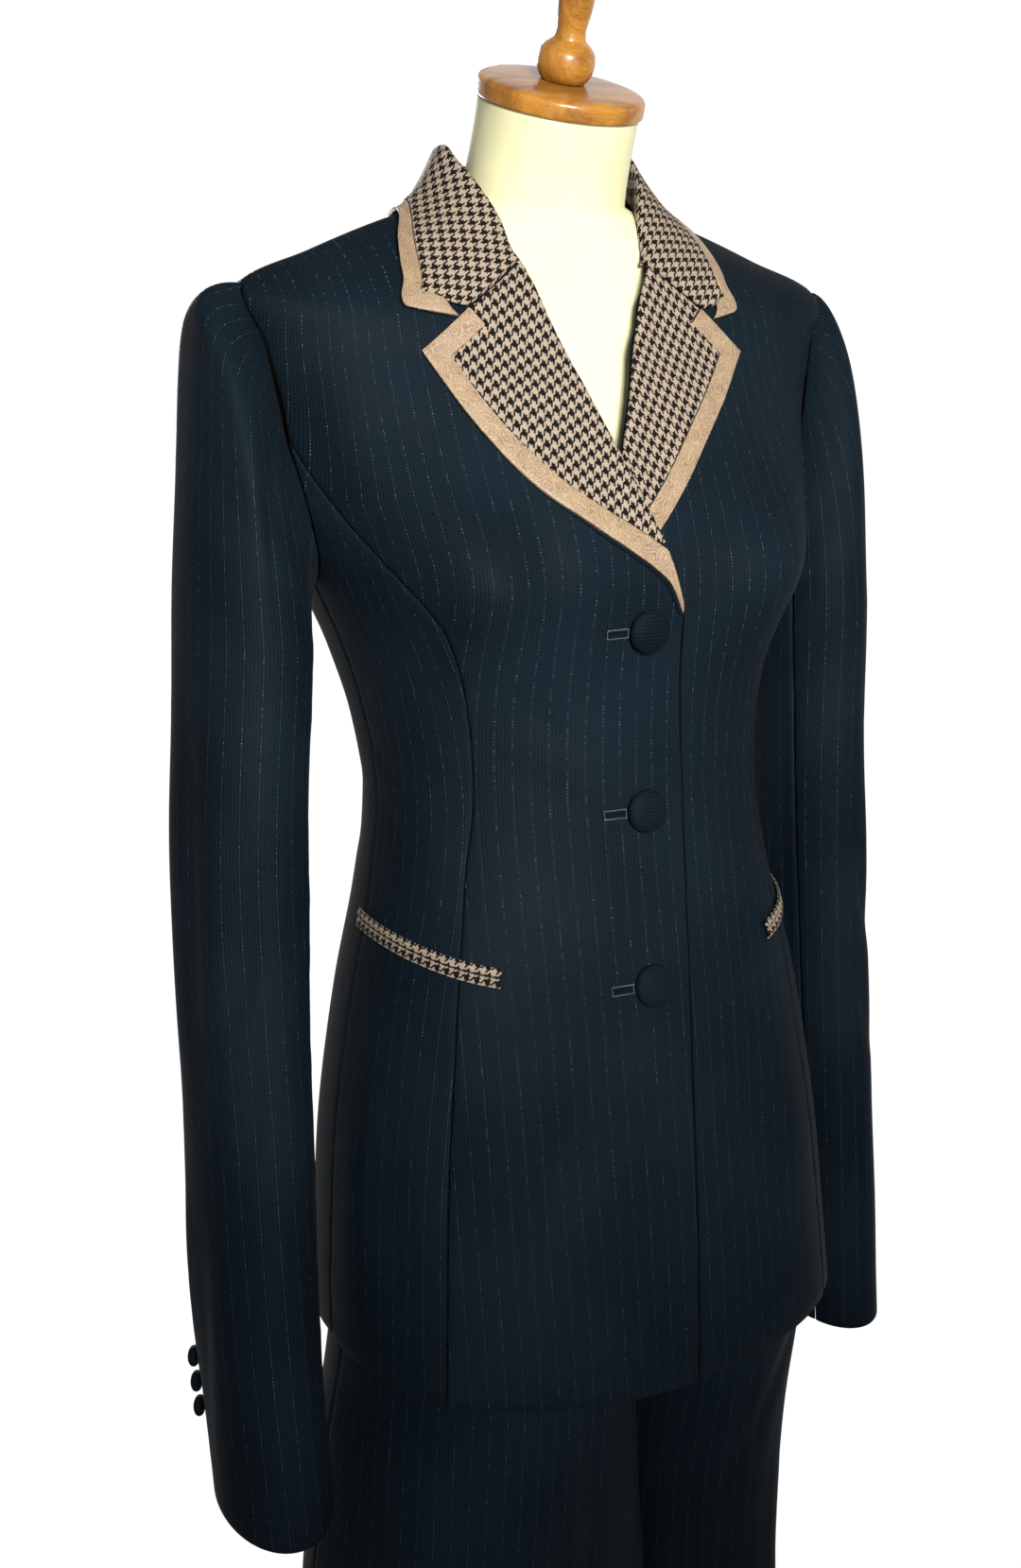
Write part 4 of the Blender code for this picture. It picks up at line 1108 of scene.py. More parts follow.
def lapel_grid(side, inner, outer):
    """The lapel's houndstooth in front view, from its roll line to the band."""
    far = np.concatenate([inner, line(inner[-1], outer[-1], 9)[1:]])
    far = far[far[:, 0] - roll_x(side, far[:, 1]) > LAPEL_LEAST]
    roll_path = denser(ROLL[side], ROW_STEPS)
    above = roll_path[roll_path[:, 1] > far[0, 1] + LAPEL_LEAST]
    start = np.array(((roll_x(side, far[0, 1]), far[0, 1]),))
    roll = resample(np.concatenate([start, above]), len(far))
    return patch(roll, far, line(roll[0], far[0], LAPEL_COLUMNS), line(roll[-1], far[-1], LAPEL_COLUMNS))


def add_lapels():
    for side in ("right", "left"):
        outer, inner = lapel_paths(side)
        points, normals = on_front(lapel_grid(side, inner, outer), side, LAPEL_LIFT + LAPEL_THICK)
        points = pull_edges(points, SEAM)
        edge = points[:, 0]
        points = soft_roll(points, normals, "l", *LAPEL_ROLL)
        uv = flat_cloth(points, edge[-1] - edge[0], GRAIN_TURN[side])
        piece = cloth_sheet(f"{side}_lapel_cloth", points, normals, uv, HOUNDSTOOTH, LAPEL_THICK)
        dress(piece, "houndstooth", f"{side}_lapel")
        share = clustered(7)[None, :, None]
        band = (1 - share) * inner[:, None] + share * outer[:, None]
        points, normals = on_front(band, side, LAPEL_LIFT + LAPEL_THICK)
        points = pull_edges(points, SEAM)
        points = soft_roll(points, normals, "r", *BAND_ROLL_OUT)
        points = soft_roll(points, normals, "l", *BAND_ROLL_IN)
        piece = cloth_sheet(f"{side}_lapel_band", points, normals, path_cloth(points), BAND, LAPEL_THICK)
        dress(piece, "band_satin", f"{side}_lapel_trim")


# The dark turn under the right lapel, its darkness partly painted shade below the lapel: its rows up the outer
# edge, the rows between which it fades, how far it stands out past the edge and lies in under it, its height
# over the front, and its thickness
TURN_ROWS = 62
TURN_FADE = (60, 20)
TURN_OUT = 0.0021
TURN_IN = 0.002
TURN_LIFT = 0.0009
TURN_THICK = 0.0006
# The rounding of the edge of thin cloth
THIN_EDGE = 0.0002


def add_lapel_edge():
    """The suiting turned under the right lapel, in the darker button cloth: a dark edge below its band near the
    break, partly the turned cloth and partly painted shade under the lapel.
    """
    outer, _ = lapel_paths("right")
    outer = outer[:TURN_ROWS]
    past = TURN_OUT * smooth_step(np.arange(TURN_ROWS), *TURN_FADE)[:, None]
    step = unit(np.gradient(outer, axis=0))
    away = np.stack([step[:, 1], -step[:, 0]], -1)
    share = np.linspace(0, 1, 7)[None, :, None]
    grid = (1 - share) * (outer - TURN_IN * away)[:, None] + share * (outer + past * away)[:, None]
    points, normals = on_front(grid, "right", TURN_LIFT)
    points = soft_roll(points, normals, "r", 0.0004, 0.0012)
    uv = path_cloth(points)
    piece = cloth_sheet("right_lapel_turn_and_shade", points, normals, uv, BUTTON_WOOL, TURN_THICK, THIN_EDGE)
    dress(piece, "suit_wool")


# The near-black tube along the right front's edge, which paints the shade under the lap: its radius, and how
# far past the panel's own edge it lies
EDGE_ROLL = 0.0010
EDGE_OUT = 0.0007


def add_front_edge_shade():
    """The right front's edge from the hem to the break, turned under, as a near-black tube: painted shade under
    the lap's edge.
    """
    places = front_edge("right")[:(LAP_POINTS - 1) * ROW_STEPS + 1:3]
    phi, level = places.T
    path = body(phi, level) + (lap_lift(phi, level) - 0.6 * CLOTH)[:, None] * body_normal(phi, level)
    path[:, 0] -= EDGE_OUT
    dress(tube_along("right_front_turned_edge", mirrored(path), EDGE_ROLL, EDGE_SHADE_WOOL, 10), "suit_wool")


# Collar

# The collar's halves, a row for each place from the gorge to centre back: the degrees and level of its fold,
# of its middle and of its edge, how high the fold rises over the body, and how far the collar stands off it
COLLAR = {
    "right": np.array((
        (22.4, 14.02, 25.6, 11.98, 37.2, 12.16, 0.000, 0.0018),
        (40.0, 14.80, 41.5, 13.50, 47.5, 13.06, 0.008, 0.0016),
        (62.0, 15.00, 62.5, 14.35, 64.0, 13.82, 0.019, 0.0022),
        (90.0, 15.00, 89.0, 14.68, 87.0, 14.32, 0.026, 0.0020),
        (126.0, 15.00, 125.0, 14.66, 123.0, 14.33, 0.031, 0.0022),
        (180.0, 15.00, 180.0, 14.48, 180.0, 13.95, 0.033, 0.0026),
    )),
    "left": np.array((
        (22.4, 14.02, 25.0, 11.98, 32.4, 12.16, 0.000, 0.0010),
        (40.0, 14.80, 40.0, 13.58, 42.8, 13.16, 0.008, 0.0016),
        (62.0, 15.00, 61.0, 14.40, 61.0, 13.98, 0.019, 0.0022),
        (90.0, 15.00, 90.0, 14.70, 90.0, 14.38, 0.026, 0.0020),
        (126.0, 15.00, 125.0, 14.66, 123.0, 14.33, 0.031, 0.0022),
        (180.0, 15.00, 180.0, 14.48, 180.0, 13.95, 0.033, 0.0026),
    )),
}
CENTRE_BACK = 5.0
COLLAR_MIDDLE = 0.52
COLLAR_THICK = 0.0020
STAND_IN = 0.0055
NECK_CENTRE = np.array((0.0, -0.006, 0.0))
UP = np.array((0.0, 0.0, 1.0))


def collar_point(s, t, side):
    """The outer face at s, from the gorge (0) to centre back, and t, from the fold (0) to the edge (1).

    A t below 0 goes down the stand inside.
    """
    s, t = np.broadcast_arrays(np.asarray(s, float), np.asarray(t, float))
    fold_phi, fold_level, middle_phi, middle_level, edge_phi, edge_level, rise, lift = np.moveaxis(
        rows(COLLAR[side], s), -1, 0
    )
    low = np.clip(t, 0, 1)
    first = np.clip(low / COLLAR_MIDDLE, 0, 1)
    second = np.clip((low - COLLAR_MIDDLE) / (1 - COLLAR_MIDDLE), 0, 1)
    phi = fold_phi + first * (middle_phi - fold_phi) + second * (edge_phi - middle_phi)
    level = fold_level + first * (middle_level - fold_level) + second * (edge_level - middle_level)
    on_body = body(phi, level) + (lift + COLLAR_THICK)[..., None] * body_normal(phi, level)
    up = rise * (1 - low) ** 1.7
    point = on_body + up[..., None] * UP
    inwards = unit(NECK_CENTRE - on_body * np.array((1.0, 1.0, 0.0)))
    lean = 0.10 * up
    turn_in = np.clip(-t, 0, 1)
    shift = lean + STAND_IN * np.minimum(turn_in * 2.2, 1.0)
    down = (0.90 * rise + 0.001) * np.clip(turn_in * 1.5 - 0.35, 0, 1)
    return point + shift[..., None] * inwards - down[..., None] * UP


def collar_normal(s, t, side):
    after = collar_point(np.minimum(s + 0.02, CENTRE_BACK), t, side)
    ahead = after - collar_point(np.maximum(s - 0.02, 0), t, side)
    down = collar_point(s, t + 0.03, side) - collar_point(s, t - 0.03, side)
    return unit(np.cross(down, ahead))


def round_the_back(s, t, what):
    """Both halves of the collar as one grid: columns run from the right gorge round the back to the left."""
    return np.concatenate([mirrored(what(s, t, "right")), what(s, t, "left")[:, ::-1][:, 1:]], axis=1)


def softened(grid, passes):
    """The inside of a grid averaged with its neighbours, which rounds the coarse table's corners."""
    for _ in range(passes):
        inside = (grid[:-2, 1:-1] + grid[2:, 1:-1] + grid[1:-1, :-2] + grid[1:-1, 2:]) / 4
        grid = grid.copy()
        grid[1:-1, 1:-1] = 0.4 * grid[1:-1, 1:-1] + 0.6 * inside
    return grid


def collar_sheet(name, s, t, cloth, material, slot, node, edges):
    """A piece of the collar at the places s and t. cloth works out its cloth coordinates from its points."""
    points = round_the_back(s, t, collar_point)
    normals = round_the_back(s, t, collar_normal)
    points = pull_edges(softened(points, 3), SEAM)
    normals = unit(softened(normals, 3))
    for edge in edges:
        points = soft_roll(points, normals, edge, 0.0006, 0.002)
    piece = dress(cloth_sheet(name, points, normals, cloth(points), material, COLLAR_THICK), slot, node)


def laid_flat(points):
    """Cloth coordinates of a curved band: each strip between two columns laid flat beside the last one."""
    count = points.shape[1]
    middle = count // 2
    flat = np.zeros(points.shape[:2] + (2,))
    for way in (1, -1):
        last = None
        column = middle
        while 0 <= column + way < count:
            strip = points[:, [column, column + way]]
            across = unit((strip[:, 1] - strip[:, 0]).mean(0)) * way
            down = strip[-1].mean(0) - strip[0].mean(0)
            down = unit(down - across * (across @ down))
            laid = np.stack([strip @ across, strip @ down], -1)
            if last is None:
                last = laid[:, 0] - laid[:1, 0]
                flat[:, middle] = last
            start = laid[:, 0] - laid[:, 0].mean(0)
            aim = last - last.mean(0)
            turn = np.arctan2((start[:, 0] * aim[:, 1] - start[:, 1] * aim[:, 0]).sum(), (start * aim).sum())
            spin = np.array(((np.cos(turn), -np.sin(turn)), (np.sin(turn), np.cos(turn))))
            last = (laid[:, 1] - laid[:, 0].mean(0)) @ spin.T + last.mean(0)
            column += way
            flat[:, column] = last
    return flat


def collar_cloth(points):
    """The collar's fall laid flat from centre back; the stand inside carries on up from the fold."""
    fold = int(np.argmin(np.abs(COLLAR_ROWS)))
    fall = laid_flat(points[fold:])
    stand = lengths(points, 0, fold)[:fold]
    up = unit(fall[:1] - fall[4:5])
    return np.concatenate([fall[:1] - stand[..., None] * up, fall])


# The band's share of the fall, how far its mitre reaches round the collar, and where the collar's end begins
COLLAR_BAND = 0.20
COLLAR_MITRE = 0.42
COLLAR_TOP = COLLAR_MIDDLE + 0.02
# The line between cloth and band at the collar's end: shares of the mitre at these places down the collar
COLLAR_END = ((0.44, 0.52, 0.54, 0.68, 0.80), (0.0, 0.58, 0.62, 0.90, 1.0))
COLLAR_ROWS = np.concatenate([
    np.linspace(-1.0, -0.22, 9), np.linspace(-0.18, 0.18, 13), np.linspace(0.22, 0.50, 9),
    (COLLAR_MIDDLE,), np.linspace(0.54, 1 - COLLAR_BAND, 10),
])


def band_cloth(points):
    """Cloth coordinates of the collar's band: across it and along it from centre back."""
    return np.stack([lengths(points, 0), lengths(points, 1, points.shape[1] // 2)], -1)


def add_collar():
    along = np.linspace(0, CENTRE_BACK, 91)
    start = COLLAR_MITRE * np.interp(COLLAR_ROWS, *COLLAR_END)
    s = start[:, None] + (CENTRE_BACK - start[:, None]) * (along / CENTRE_BACK)[None, :]
    t = np.repeat(COLLAR_ROWS[:, None], len(along), 1)
    collar_sheet("collar_cloth", s, t, collar_cloth, HOUNDSTOOTH, "houndstooth", "collar", "t")
    end = np.linspace(0, 1, 9)[:-1]
    outer_s = np.concatenate([np.zeros(len(end)), along])
    outer_t = np.concatenate([COLLAR_TOP + (1 - COLLAR_TOP) * end, np.ones(len(along))])
    inner_line = COLLAR_MITRE + (CENTRE_BACK - COLLAR_MITRE) * (along / CENTRE_BACK)
    end_t = COLLAR_TOP + (1 - COLLAR_BAND - COLLAR_TOP) * end
    inner_s = np.concatenate([COLLAR_MITRE * np.interp(end_t, *COLLAR_END), inner_line])
    inner_t = np.concatenate([end_t, np.full(len(along), 1 - COLLAR_BAND)])
    share = clustered(6)[:, None]
    band_s = (1 - share) * inner_s + share * outer_s
    band_t = (1 - share) * inner_t + share * outer_t
    collar_sheet("collar_band", band_s, band_t, band_cloth, BAND, "band_satin", "collar_trim", "tb")


# Pocket welts

# The pocket's top line as (degrees, level) on the wearer's left half
POCKET = np.array(((36.5, 3.50), (48.0, 3.58), (60.0, 3.67), (76.0, 3.77), (93.0, 3.85)))
# The height of one welt and the gap between two, in levels
WELT_LEVELS = 0.082
WELT_GAP = 0.009
WELT_LIFT = 0.0009
WELT_THICK = 0.0014
WELT_BULGE = 0.0006
WELT_WAVES = 0.00012


def add_welts():
    top = resample(denser(POCKET, 6), 97)
    share = np.linspace(0, 1, 9)
    for side in ("right", "left"):
        for name, low in (("upper", 0.0), ("lower", WELT_LEVELS + WELT_GAP)):
            places = top[None] - np.stack([0 * share, low + (1 - share) * WELT_LEVELS], -1)[:, None]
            phi = places[..., 0]
            level = places[..., 1]
            normals = body_normal(phi, level)
            points = body(phi, level) + (WELT_LIFT + WELT_THICK) * normals
            waves = WELT_WAVES * ripple(lengths(points, 1) / 0.004, low * 40)
            bulge = WELT_BULGE * np.sin(np.pi * share)[:, None] + waves
            points = points + bulge[..., None] * normals
            uv = np.stack([lengths(points, 1), lengths(points, 0) + 0.0022 + 0.3 * low], -1)
            points, normals = on_side(side, points, normals)
            node = f"{side}_welt_{name}"
            piece = cloth_sheet(node + "_cloth", points, normals, uv, HOUNDSTOOTH, WELT_THICK, 0.0003)
            dress(piece, "houndstooth", node)


# Buttons and buttonholes on the right front

# One row for each: its height, how far the button and its hole lie over the front, and how far aside
BUTTONS = (
    (1.185, 0.0015, 0.0008, 0.0010),
    (1.080, 0.0010, 0.0008, 0.0000),
    (0.978, 0.0007, 0.0003, 0.0035),
)
# Profiles here and below are rows of (distance along the axis, radius)
BUTTON_PROFILE = (
    (0.0000, 0.0060), (0.0002, 0.0100), (0.0010, 0.0121), (0.0024, 0.0127), (0.0040, 0.0119),
    (0.0053, 0.0097), (0.0062, 0.0066), (0.0066, 0.0034), (0.0067, 0.0003),
)
# The hole's ends, to the wearer's right of its button
HOLE_X = (0.0135, 0.0265)
HOLE_HALF = 0.0025
HOLE_THICK = 0.0010
LIP_THICK = 0.0007


PLEAT_DEPTH = 0.014


def cloth_button(node, centre, axis, profile, count, pleats):
    """A button covered in cloth: a dome with a little gathering below its rim."""
    axes = axes_round(axis)
    profile = denser(profile, 5)
    widest = profile[:, 1].argmax()
    below = smooth_step(np.arange(len(profile)), widest + 2, 0)[:, None]
    gather = np.sin(pleats * circle_turns(count))[None, :]
    radius = profile[:, 1:] * (1 + PLEAT_DEPTH * below * gather)
    rings = lathe_rings(centre, axes, profile[:, 0], radius)
    uv = np.stack([rings @ axes[1], rings @ axes[2]], -1) + STRIPE_PITCH / 2
    dress(stacked(node + "_cloth", rings, uv, BUTTON_WOOL), "suit_wool", node)


def tube_along(name, path, radius, material, count=8, closed=False):
    """A thin tube along a path of points. A closed one joins its last point to its first."""
    ahead = np.roll(path, -1, axis=0) - np.roll(path, 1, axis=0) if closed else np.gradient(path, axis=0)
    ahead = unit(ahead)
    reference = np.array((0.0, -1.0, 0.2))
    side = unit(np.cross(ahead, reference))
    other = np.cross(ahead, side)
    turn = circle_turns(count)[None, :, None]
    rings = path[:, None] + radius * (np.cos(turn) * side[:, None] + np.sin(turn) * other[:, None])
    if closed:
        faces = quads(len(rings) + 1, count, wrap=True) % (len(rings) * count)
        return add_quads(name, rings.reshape(-1, 3), faces, None, material)
    return stacked(name, rings, np.zeros(rings.shape[:2] + (2,)), material)


LIP_HEIGHT = 0.0009
SLIT_DEPTH = 0.0004
HOLE_END = 0.0008
THREAD_OUT = 0.0003
THREAD_RADIUS = 0.00028
THREAD_SWAY = 0.00022


def add_buttonhole(index, z, over, aside):
    """A bound hole: a plate of two rolled lips with a dark slit between, and a line of thread round it."""
    low_x = aside + HOLE_X[0]
    high_x = aside + HOLE_X[1]
    ups = np.linspace(-1, 1, 25)
    grid = np.stack(np.meshgrid(np.linspace(low_x, high_x, 40), z + HOLE_HALF * ups), -1)
    points, normals = on_front(grid, "right", over + HOLE_THICK)
    lip = LIP_HEIGHT * np.sqrt(np.clip(1 - ((np.abs(ups) - 0.5) / 0.5) ** 2, 0, 1))
    near_low = np.abs(lengths(points, 1))
    near_high = np.abs(lengths(points, 1, points.shape[1] - 1))
    ends = smooth_step(near_low, 0, HOLE_END) * smooth_step(near_high, 0, HOLE_END)
    points = points + ((lip[:, None] - SLIT_DEPTH) * ends)[..., None] * normals
    uv = np.stack([lengths(points, 0), lengths(points, 1)], -1) + 0.0012
    plate = cloth_sheet(f"buttonhole_lips_{index}", points, normals, uv, BUTTON_WOOL, LIP_THICK, THIN_EDGE)
    dress(plate, "suit_wool", f"buttonhole_{index}")
    left, right = low_x - THREAD_OUT, high_x + THREAD_OUT
    low, high = z - HOLE_HALF, z + HOLE_HALF
    box = np.array(((left, low), (right, low), (right, high), (left, high), (left, low)))
    path = resample(box, 140)[:-1]
    across = THREAD_SWAY * np.where(np.arange(len(path)) % 2, 1.0, -1.0)
    around, facing = on_front(path[None], "right", over + HOLE_THICK + 0.0002)
    outline = around[0] + across[:, None] * facing[0]
    thread = tube_along(f"buttonhole_thread_{index}", outline, THREAD_RADIUS, DARK_THREAD, 6, closed=True)
    dress(thread, "suit_wool")


def add_buttons():
    for index, (z, button_over, hole_over, aside) in enumerate(BUTTONS, 1):
        phi, level = front_place(aside, z)
        normal = body_normal(phi, level)
        centre = mirrored(body(phi, level) + (lap_lift(phi, level) + button_over) * normal)
        cloth_button(f"front_button_{index}", centre, mirrored(normal), BUTTON_PROFILE, 96, 26)
        add_buttonhole(index, z, hole_over, aside)


# Sleeves

# The arm's rings from the head's end down to the cuff, as on the wearer's left: z, the centre's x and y, the
# half widths aside and to the front, and how much the ring rises from front to back
SLEEVES = {
    "right": np.array((
        (1.185, 0.2030, -0.005, 0.0375, 0.055, 0.00),
        (1.060, 0.2135, -0.004, 0.0390, 0.055, 0.00),
        (0.930, 0.2205, -0.012, 0.0365, 0.053, 0.02),
        (0.800, 0.2285, -0.026, 0.0345, 0.049, 0.06),
        (0.692, 0.2310, -0.041, 0.0330, 0.046, 0.26),
    )),
    "left": np.array((
        (1.185, 0.1875, -0.003, 0.0350, 0.055, 0.00),
        (1.060, 0.1950, 0.009, 0.0335, 0.053, 0.00),
        (0.930, 0.2025, 0.015, 0.0335, 0.051, 0.02),
        (0.800, 0.2120, 0.018, 0.0330, 0.048, 0.06),
        (0.678, 0.2140, 0.017, 0.0330, 0.046, 0.20),
    )),
}
SLEEVE_THICK = 0.0016
SLEEVE_FOLDS = 1.6
# The armhole points where the two seams begin, and the grid's steps from point to point, down the head and
# down the arm
FRONT_SEAM = 9
BACK_SEAM = 18
TURN_STEPS = 6
CAP_STEPS = 44
ARM_STEPS = 130
# The turns where the armhole meets the princess seam and the side seam, in degrees
PRINCESS_TURN = 112
SIDE_TURN = 180
# Lengthwise and slanting soft folds of the sleeves: (turn, level) places, depth, half width
SLEEVE_CREASES = {
    "right": (
        (((-28, 0.2), (-24, 1.2), (-30, 2.2)), 0.0016, 0.010),
        (((12, 0.0), (20, 1.0), (16, 2.0)), 0.0018, 0.012),
        (((48, 0.4), (44, 1.3), (50, 2.4)), -0.0016, 0.012),
        (((84, 0.9), (60, 1.5), (30, 1.8)), 0.0018, 0.010),
        (((92, 1.5), (66, 2.1), (40, 2.3)), 0.0014, 0.009),
        (((-8, 2.3), (-22, 3.0), (-44, 3.7)), -0.0012, 0.007),
        (((14, 2.4), (4, 3.1), (-10, 3.8)), 0.0014, 0.011),
        (((230, 1.0), (250, 1.5), (275, 1.8)), 0.0018, 0.010),
        (((215, 1.7), (240, 2.1), (270, 2.3)), 0.0015, 0.009),
        (((150, 0.3), (156, 1.4), (150, 2.4)), 0.0014, 0.010),
        (((190, 1.6), (200, 2.6), (196, 3.6)), -0.0012, 0.010),
    ),
    "left": (
        (((-20, 0.1), (-16, 1.2), (-24, 2.3)), 0.0016, 0.010),
        (((22, 0.1), (28, 1.1), (24, 2.1)), 0.0016, 0.012),
        (((58, 0.6), (52, 1.5), (56, 2.6)), -0.0014, 0.012),
        (((88, 1.0), (64, 1.6), (34, 1.9)), 0.0018, 0.010),
        (((94, 1.7), (70, 2.2), (44, 2.5)), 0.0014, 0.009),
        (((6, 2.5), (-4, 3.2), (-16, 3.8)), 0.0013, 0.011),
        (((228, 1.1), (252, 1.6), (277, 1.8)), 0.0018, 0.010),
        (((212, 1.8), (240, 2.2), (268, 2.5)), 0.0014, 0.009),
        (((152, 0.4), (158, 1.5), (152, 2.5)), 0.0014, 0.010),
    ),
}


def smooth_loop(values, steps):
    """A closed ring of values made denser by a smooth curve."""
    wide = np.concatenate([values[-2:], values, values[:3]])
    places = np.linspace(2, 2 + len(values), len(values) * steps, endpoint=False)
    return rows(wide, places)


def armhole_loop():
    """The armhole from the shoulder tip down the front, under the arm and up the back."""
    return np.concatenate([ARMHOLE_HIGH[::-1], ARMHOLE_LOW[1:], ARMHOLE_BACK[1:-1]])


def sleeve_turns():
    """Each armhole point's angle round the arm: 0 outside, 90 in front, 180 under the arm, 270 behind."""
    return np.concatenate([
        np.linspace(0, PRINCESS_TURN, len(ARMHOLE_HIGH)),
        np.linspace(PRINCESS_TURN, SIDE_TURN, len(ARMHOLE_LOW))[1:],
        np.linspace(SIDE_TURN, 360, len(ARMHOLE_BACK))[1:-1],
    ])


def arm_ring(table, level, turns):
    """The points at these turns round the arm, at a level of its table."""
    z, centre_x, centre_y, half_x, half_y, tilt = rows(table, np.asarray(level, float))
    angle = np.radians(turns)
    y = centre_y - half_y * np.sin(angle)
    return np.stack([centre_x + half_x * np.cos(angle), y, z + tilt * (y - centre_y)], -1)


def dense_turns():
    """The turn of each column of the sleeve's grid."""
    coarse = sleeve_turns()
    closed = np.concatenate([coarse, [360.0]])
    return np.interp(np.arange(len(coarse) * TURN_STEPS) / TURN_STEPS, np.arange(len(closed)), closed)


# How far the sleeve's head starts from the armhole, and how fast it spreads in front and at the shoulder
HEAD_START = 0.0002
HEAD_FRONT = 2.4
HEAD_SQUARE = {"right": 28.0, "left": 6.0}
# How much later it falls at the shoulder, and how its rows crowd together at the seam
HEAD_FLAT = 0.38
HEAD_CROWD = 1.6
# The share of the spread that comes evenly, all the way down the head
HEAD_LEAN = {"right": 0.54, "left": 0.12}
# How far inside the arm's centre the axis of the head's threads lies, in front and at the shoulder
HEAD_AXIS = 0.005
HEAD_AXIS_TOP = 0.070


def sleeve_grid(side):
    """The whole sleeve of the left arm shape, as rings from the armhole to the cuff."""
    coarse = armhole_loop()
    on_body = smooth_loop(body(coarse[:, 0], coarse[:, 1]), TURN_STEPS)
    turns = dense_turns()
    start = on_body + np.array((1.0, 0.0, -0.5)) * HEAD_START
    table = SLEEVES[side]
    target = arm_ring(table, 0.0, turns)
    rise = np.clip(np.cos(np.radians(turns)), 0, 1)[:, None]
    quick = HEAD_FRONT + (HEAD_SQUARE[side] - HEAD_FRONT) * rise
    lean = HEAD_LEAN[side] * rise
    grid = []
    for v in np.linspace(0, 1, CAP_STEPS + 1) ** HEAD_CROWD:
        aside = (1 - lean) * (1 - (1 - v) ** quick) + lean * v
        down = v ** (1 + HEAD_FLAT * rise)
        grid.append(start + np.concatenate([aside, aside, down], axis=1) * (target - start))
    for level in np.linspace(0, len(table) - 1, ARM_STEPS + 1)[1:]:
        grid.append(arm_ring(table, level, turns))
    return np.array(grid)


# The height of the roll below the armhole seam, the seam's depth and the height of the gathers
HEAD_ROLL = 0.0009
HEAD_SEAM = 0.0004
HEAD_GATHERS = 0.00012


def cap_ease(grid, normals):
    """The sleeve head's fullness: a soft roll below the armhole seam, uneven round the top."""
    down = lengths(grid, 0)
    turns = np.radians(dense_turns())[None, :]
    top = np.clip(np.cos(turns), 0, 1) ** 0.7
    roll = HEAD_ROLL * bell((down - 0.011) / 0.009) * top
    seam = -HEAD_SEAM * bell(down / 0.0012)
    uneven = np.sin(34 * turns + 0.4 * np.sin(5 * turns))
    gathers = HEAD_GATHERS * bell((down - 0.006) / 0.008) * uneven * top
    return grid + (roll + seam + gathers)[..., None] * normals


def plumb_across(grid, around):
    """Each point's distance round the sleeve, and each row's whole length.

    In the head the threads rise in upright planes through an axis inside the arm.
    """
    turns = np.radians(dense_turns())
    own = np.where(turns >= np.pi, around[:, :-1] - around[:, -1:], around[:, :-1])
    centre_x, centre_y = grid[CAP_STEPS].mean(axis=0)[:2]
    inward = HEAD_AXIS + HEAD_AXIS_TOP * np.clip(np.cos(turns), 0, 1) ** 2
    angle = np.arctan2(centre_y - grid[..., 1], grid[..., 0] - centre_x + inward)
    order = np.argsort(angle[CAP_STEPS])
    head = np.interp(angle, angle[CAP_STEPS, order], own[CAP_STEPS, order])
    across = np.where(np.arange(len(grid))[:, None] < CAP_STEPS, head, own)
    whole = around[np.maximum(np.arange(len(grid)), CAP_STEPS), -1]
    return across, whole[:, None]


def add_sleeve(side):
    grid = sleeve_grid(side)
    normals = facing_out(grid, grid_normals(grid, wrap=True))
    table = SLEEVES[side]
    creases = [
        ([arm_ring(table, level, turn) for turn, level in path], SLEEVE_FOLDS * depth, width)
        for path, depth, width in SLEEVE_CREASES[side]
    ]
    shaped = cap_ease(creased(grid, normals, creases), normals)
    shaped = shaped - unevenness(grid, 0.0004)[..., None] * normals
    count = grid.shape[1]
    across, whole = plumb_across(grid, ring_lengths(grid))
    along = np.broadcast_to(lengths(grid, 0)[:, :1], grid.shape[:2])
    past_half = np.radians(dense_turns()) >= np.pi
    upper = np.arange(BACK_SEAM * TURN_STEPS, FRONT_SEAM * TURN_STEPS + count + 1)
    under = np.arange(FRONT_SEAM * TURN_STEPS, BACK_SEAM * TURN_STEPS + 1)
    for name, columns in (("upper", upper), ("under", under)):
        loops = columns % count
        width = across[:, loops] + np.where((name == "under") & past_half[loops], whole, 0.0)
        uv = np.stack([width, -along[:, loops]], -1)
        points = seam_relief(shaped[:, loops], normals[:, loops], "lr", len(columns))
        points = pull_edges(points, 1.3 * SEAM, "lr")
        points, facing = on_side(side, points, normals[:, loops])
        node = f"{side}_{name}_sleeve"
        piece = cloth_sheet(node + "_cloth", points, facing, uv, WOOL, SLEEVE_THICK, THIN_EDGE)
        dress(piece, "suit_wool", node)


CUFF_BUTTON_PROFILE = (
    (0.0000, 0.0020), (0.0020, 0.0021), (0.0026, 0.0034), (0.0030, 0.0052), (0.0045, 0.0062),
    (0.0062, 0.0060), (0.0076, 0.0044), (0.0084, 0.0020), (0.0086, 0.0002),
)
# How high the buttons stand over the cuff's edge, where round the arm they lie, and how far out they are sewn
CUFF_BUTTONS = (0.040, 0.056, 0.072)
BUTTON_TURN = -42.0
BUTTON_OUT = 0.0006


def add_cuff_buttons():
    for side in ("right", "left"):
        table = SLEEVES[side]
        for index, above in enumerate(CUFF_BUTTONS, 1):
            level = np.interp(-table[-1, 0] - above, -table[:, 0], np.arange(len(table)))
            near = arm_ring(table, level, np.array((BUTTON_TURN - 4.0, BUTTON_TURN + 4.0)))
            facing = unit(np.cross(near[1] - near[0], (0.0, 0.0, 1.0)))
            turn = np.radians(BUTTON_TURN)
            if facing[0] * np.cos(turn) - facing[1] * np.sin(turn) < 0:
                facing = -facing
            centre = arm_ring(table, level, BUTTON_TURN) + BUTTON_OUT * facing
            centre, facing = on_side(side, centre, facing)
            cloth_button(f"{side}_cuff_button_{index}", centre, facing, CUFF_BUTTON_PROFILE, 48, 14)


# Trousers

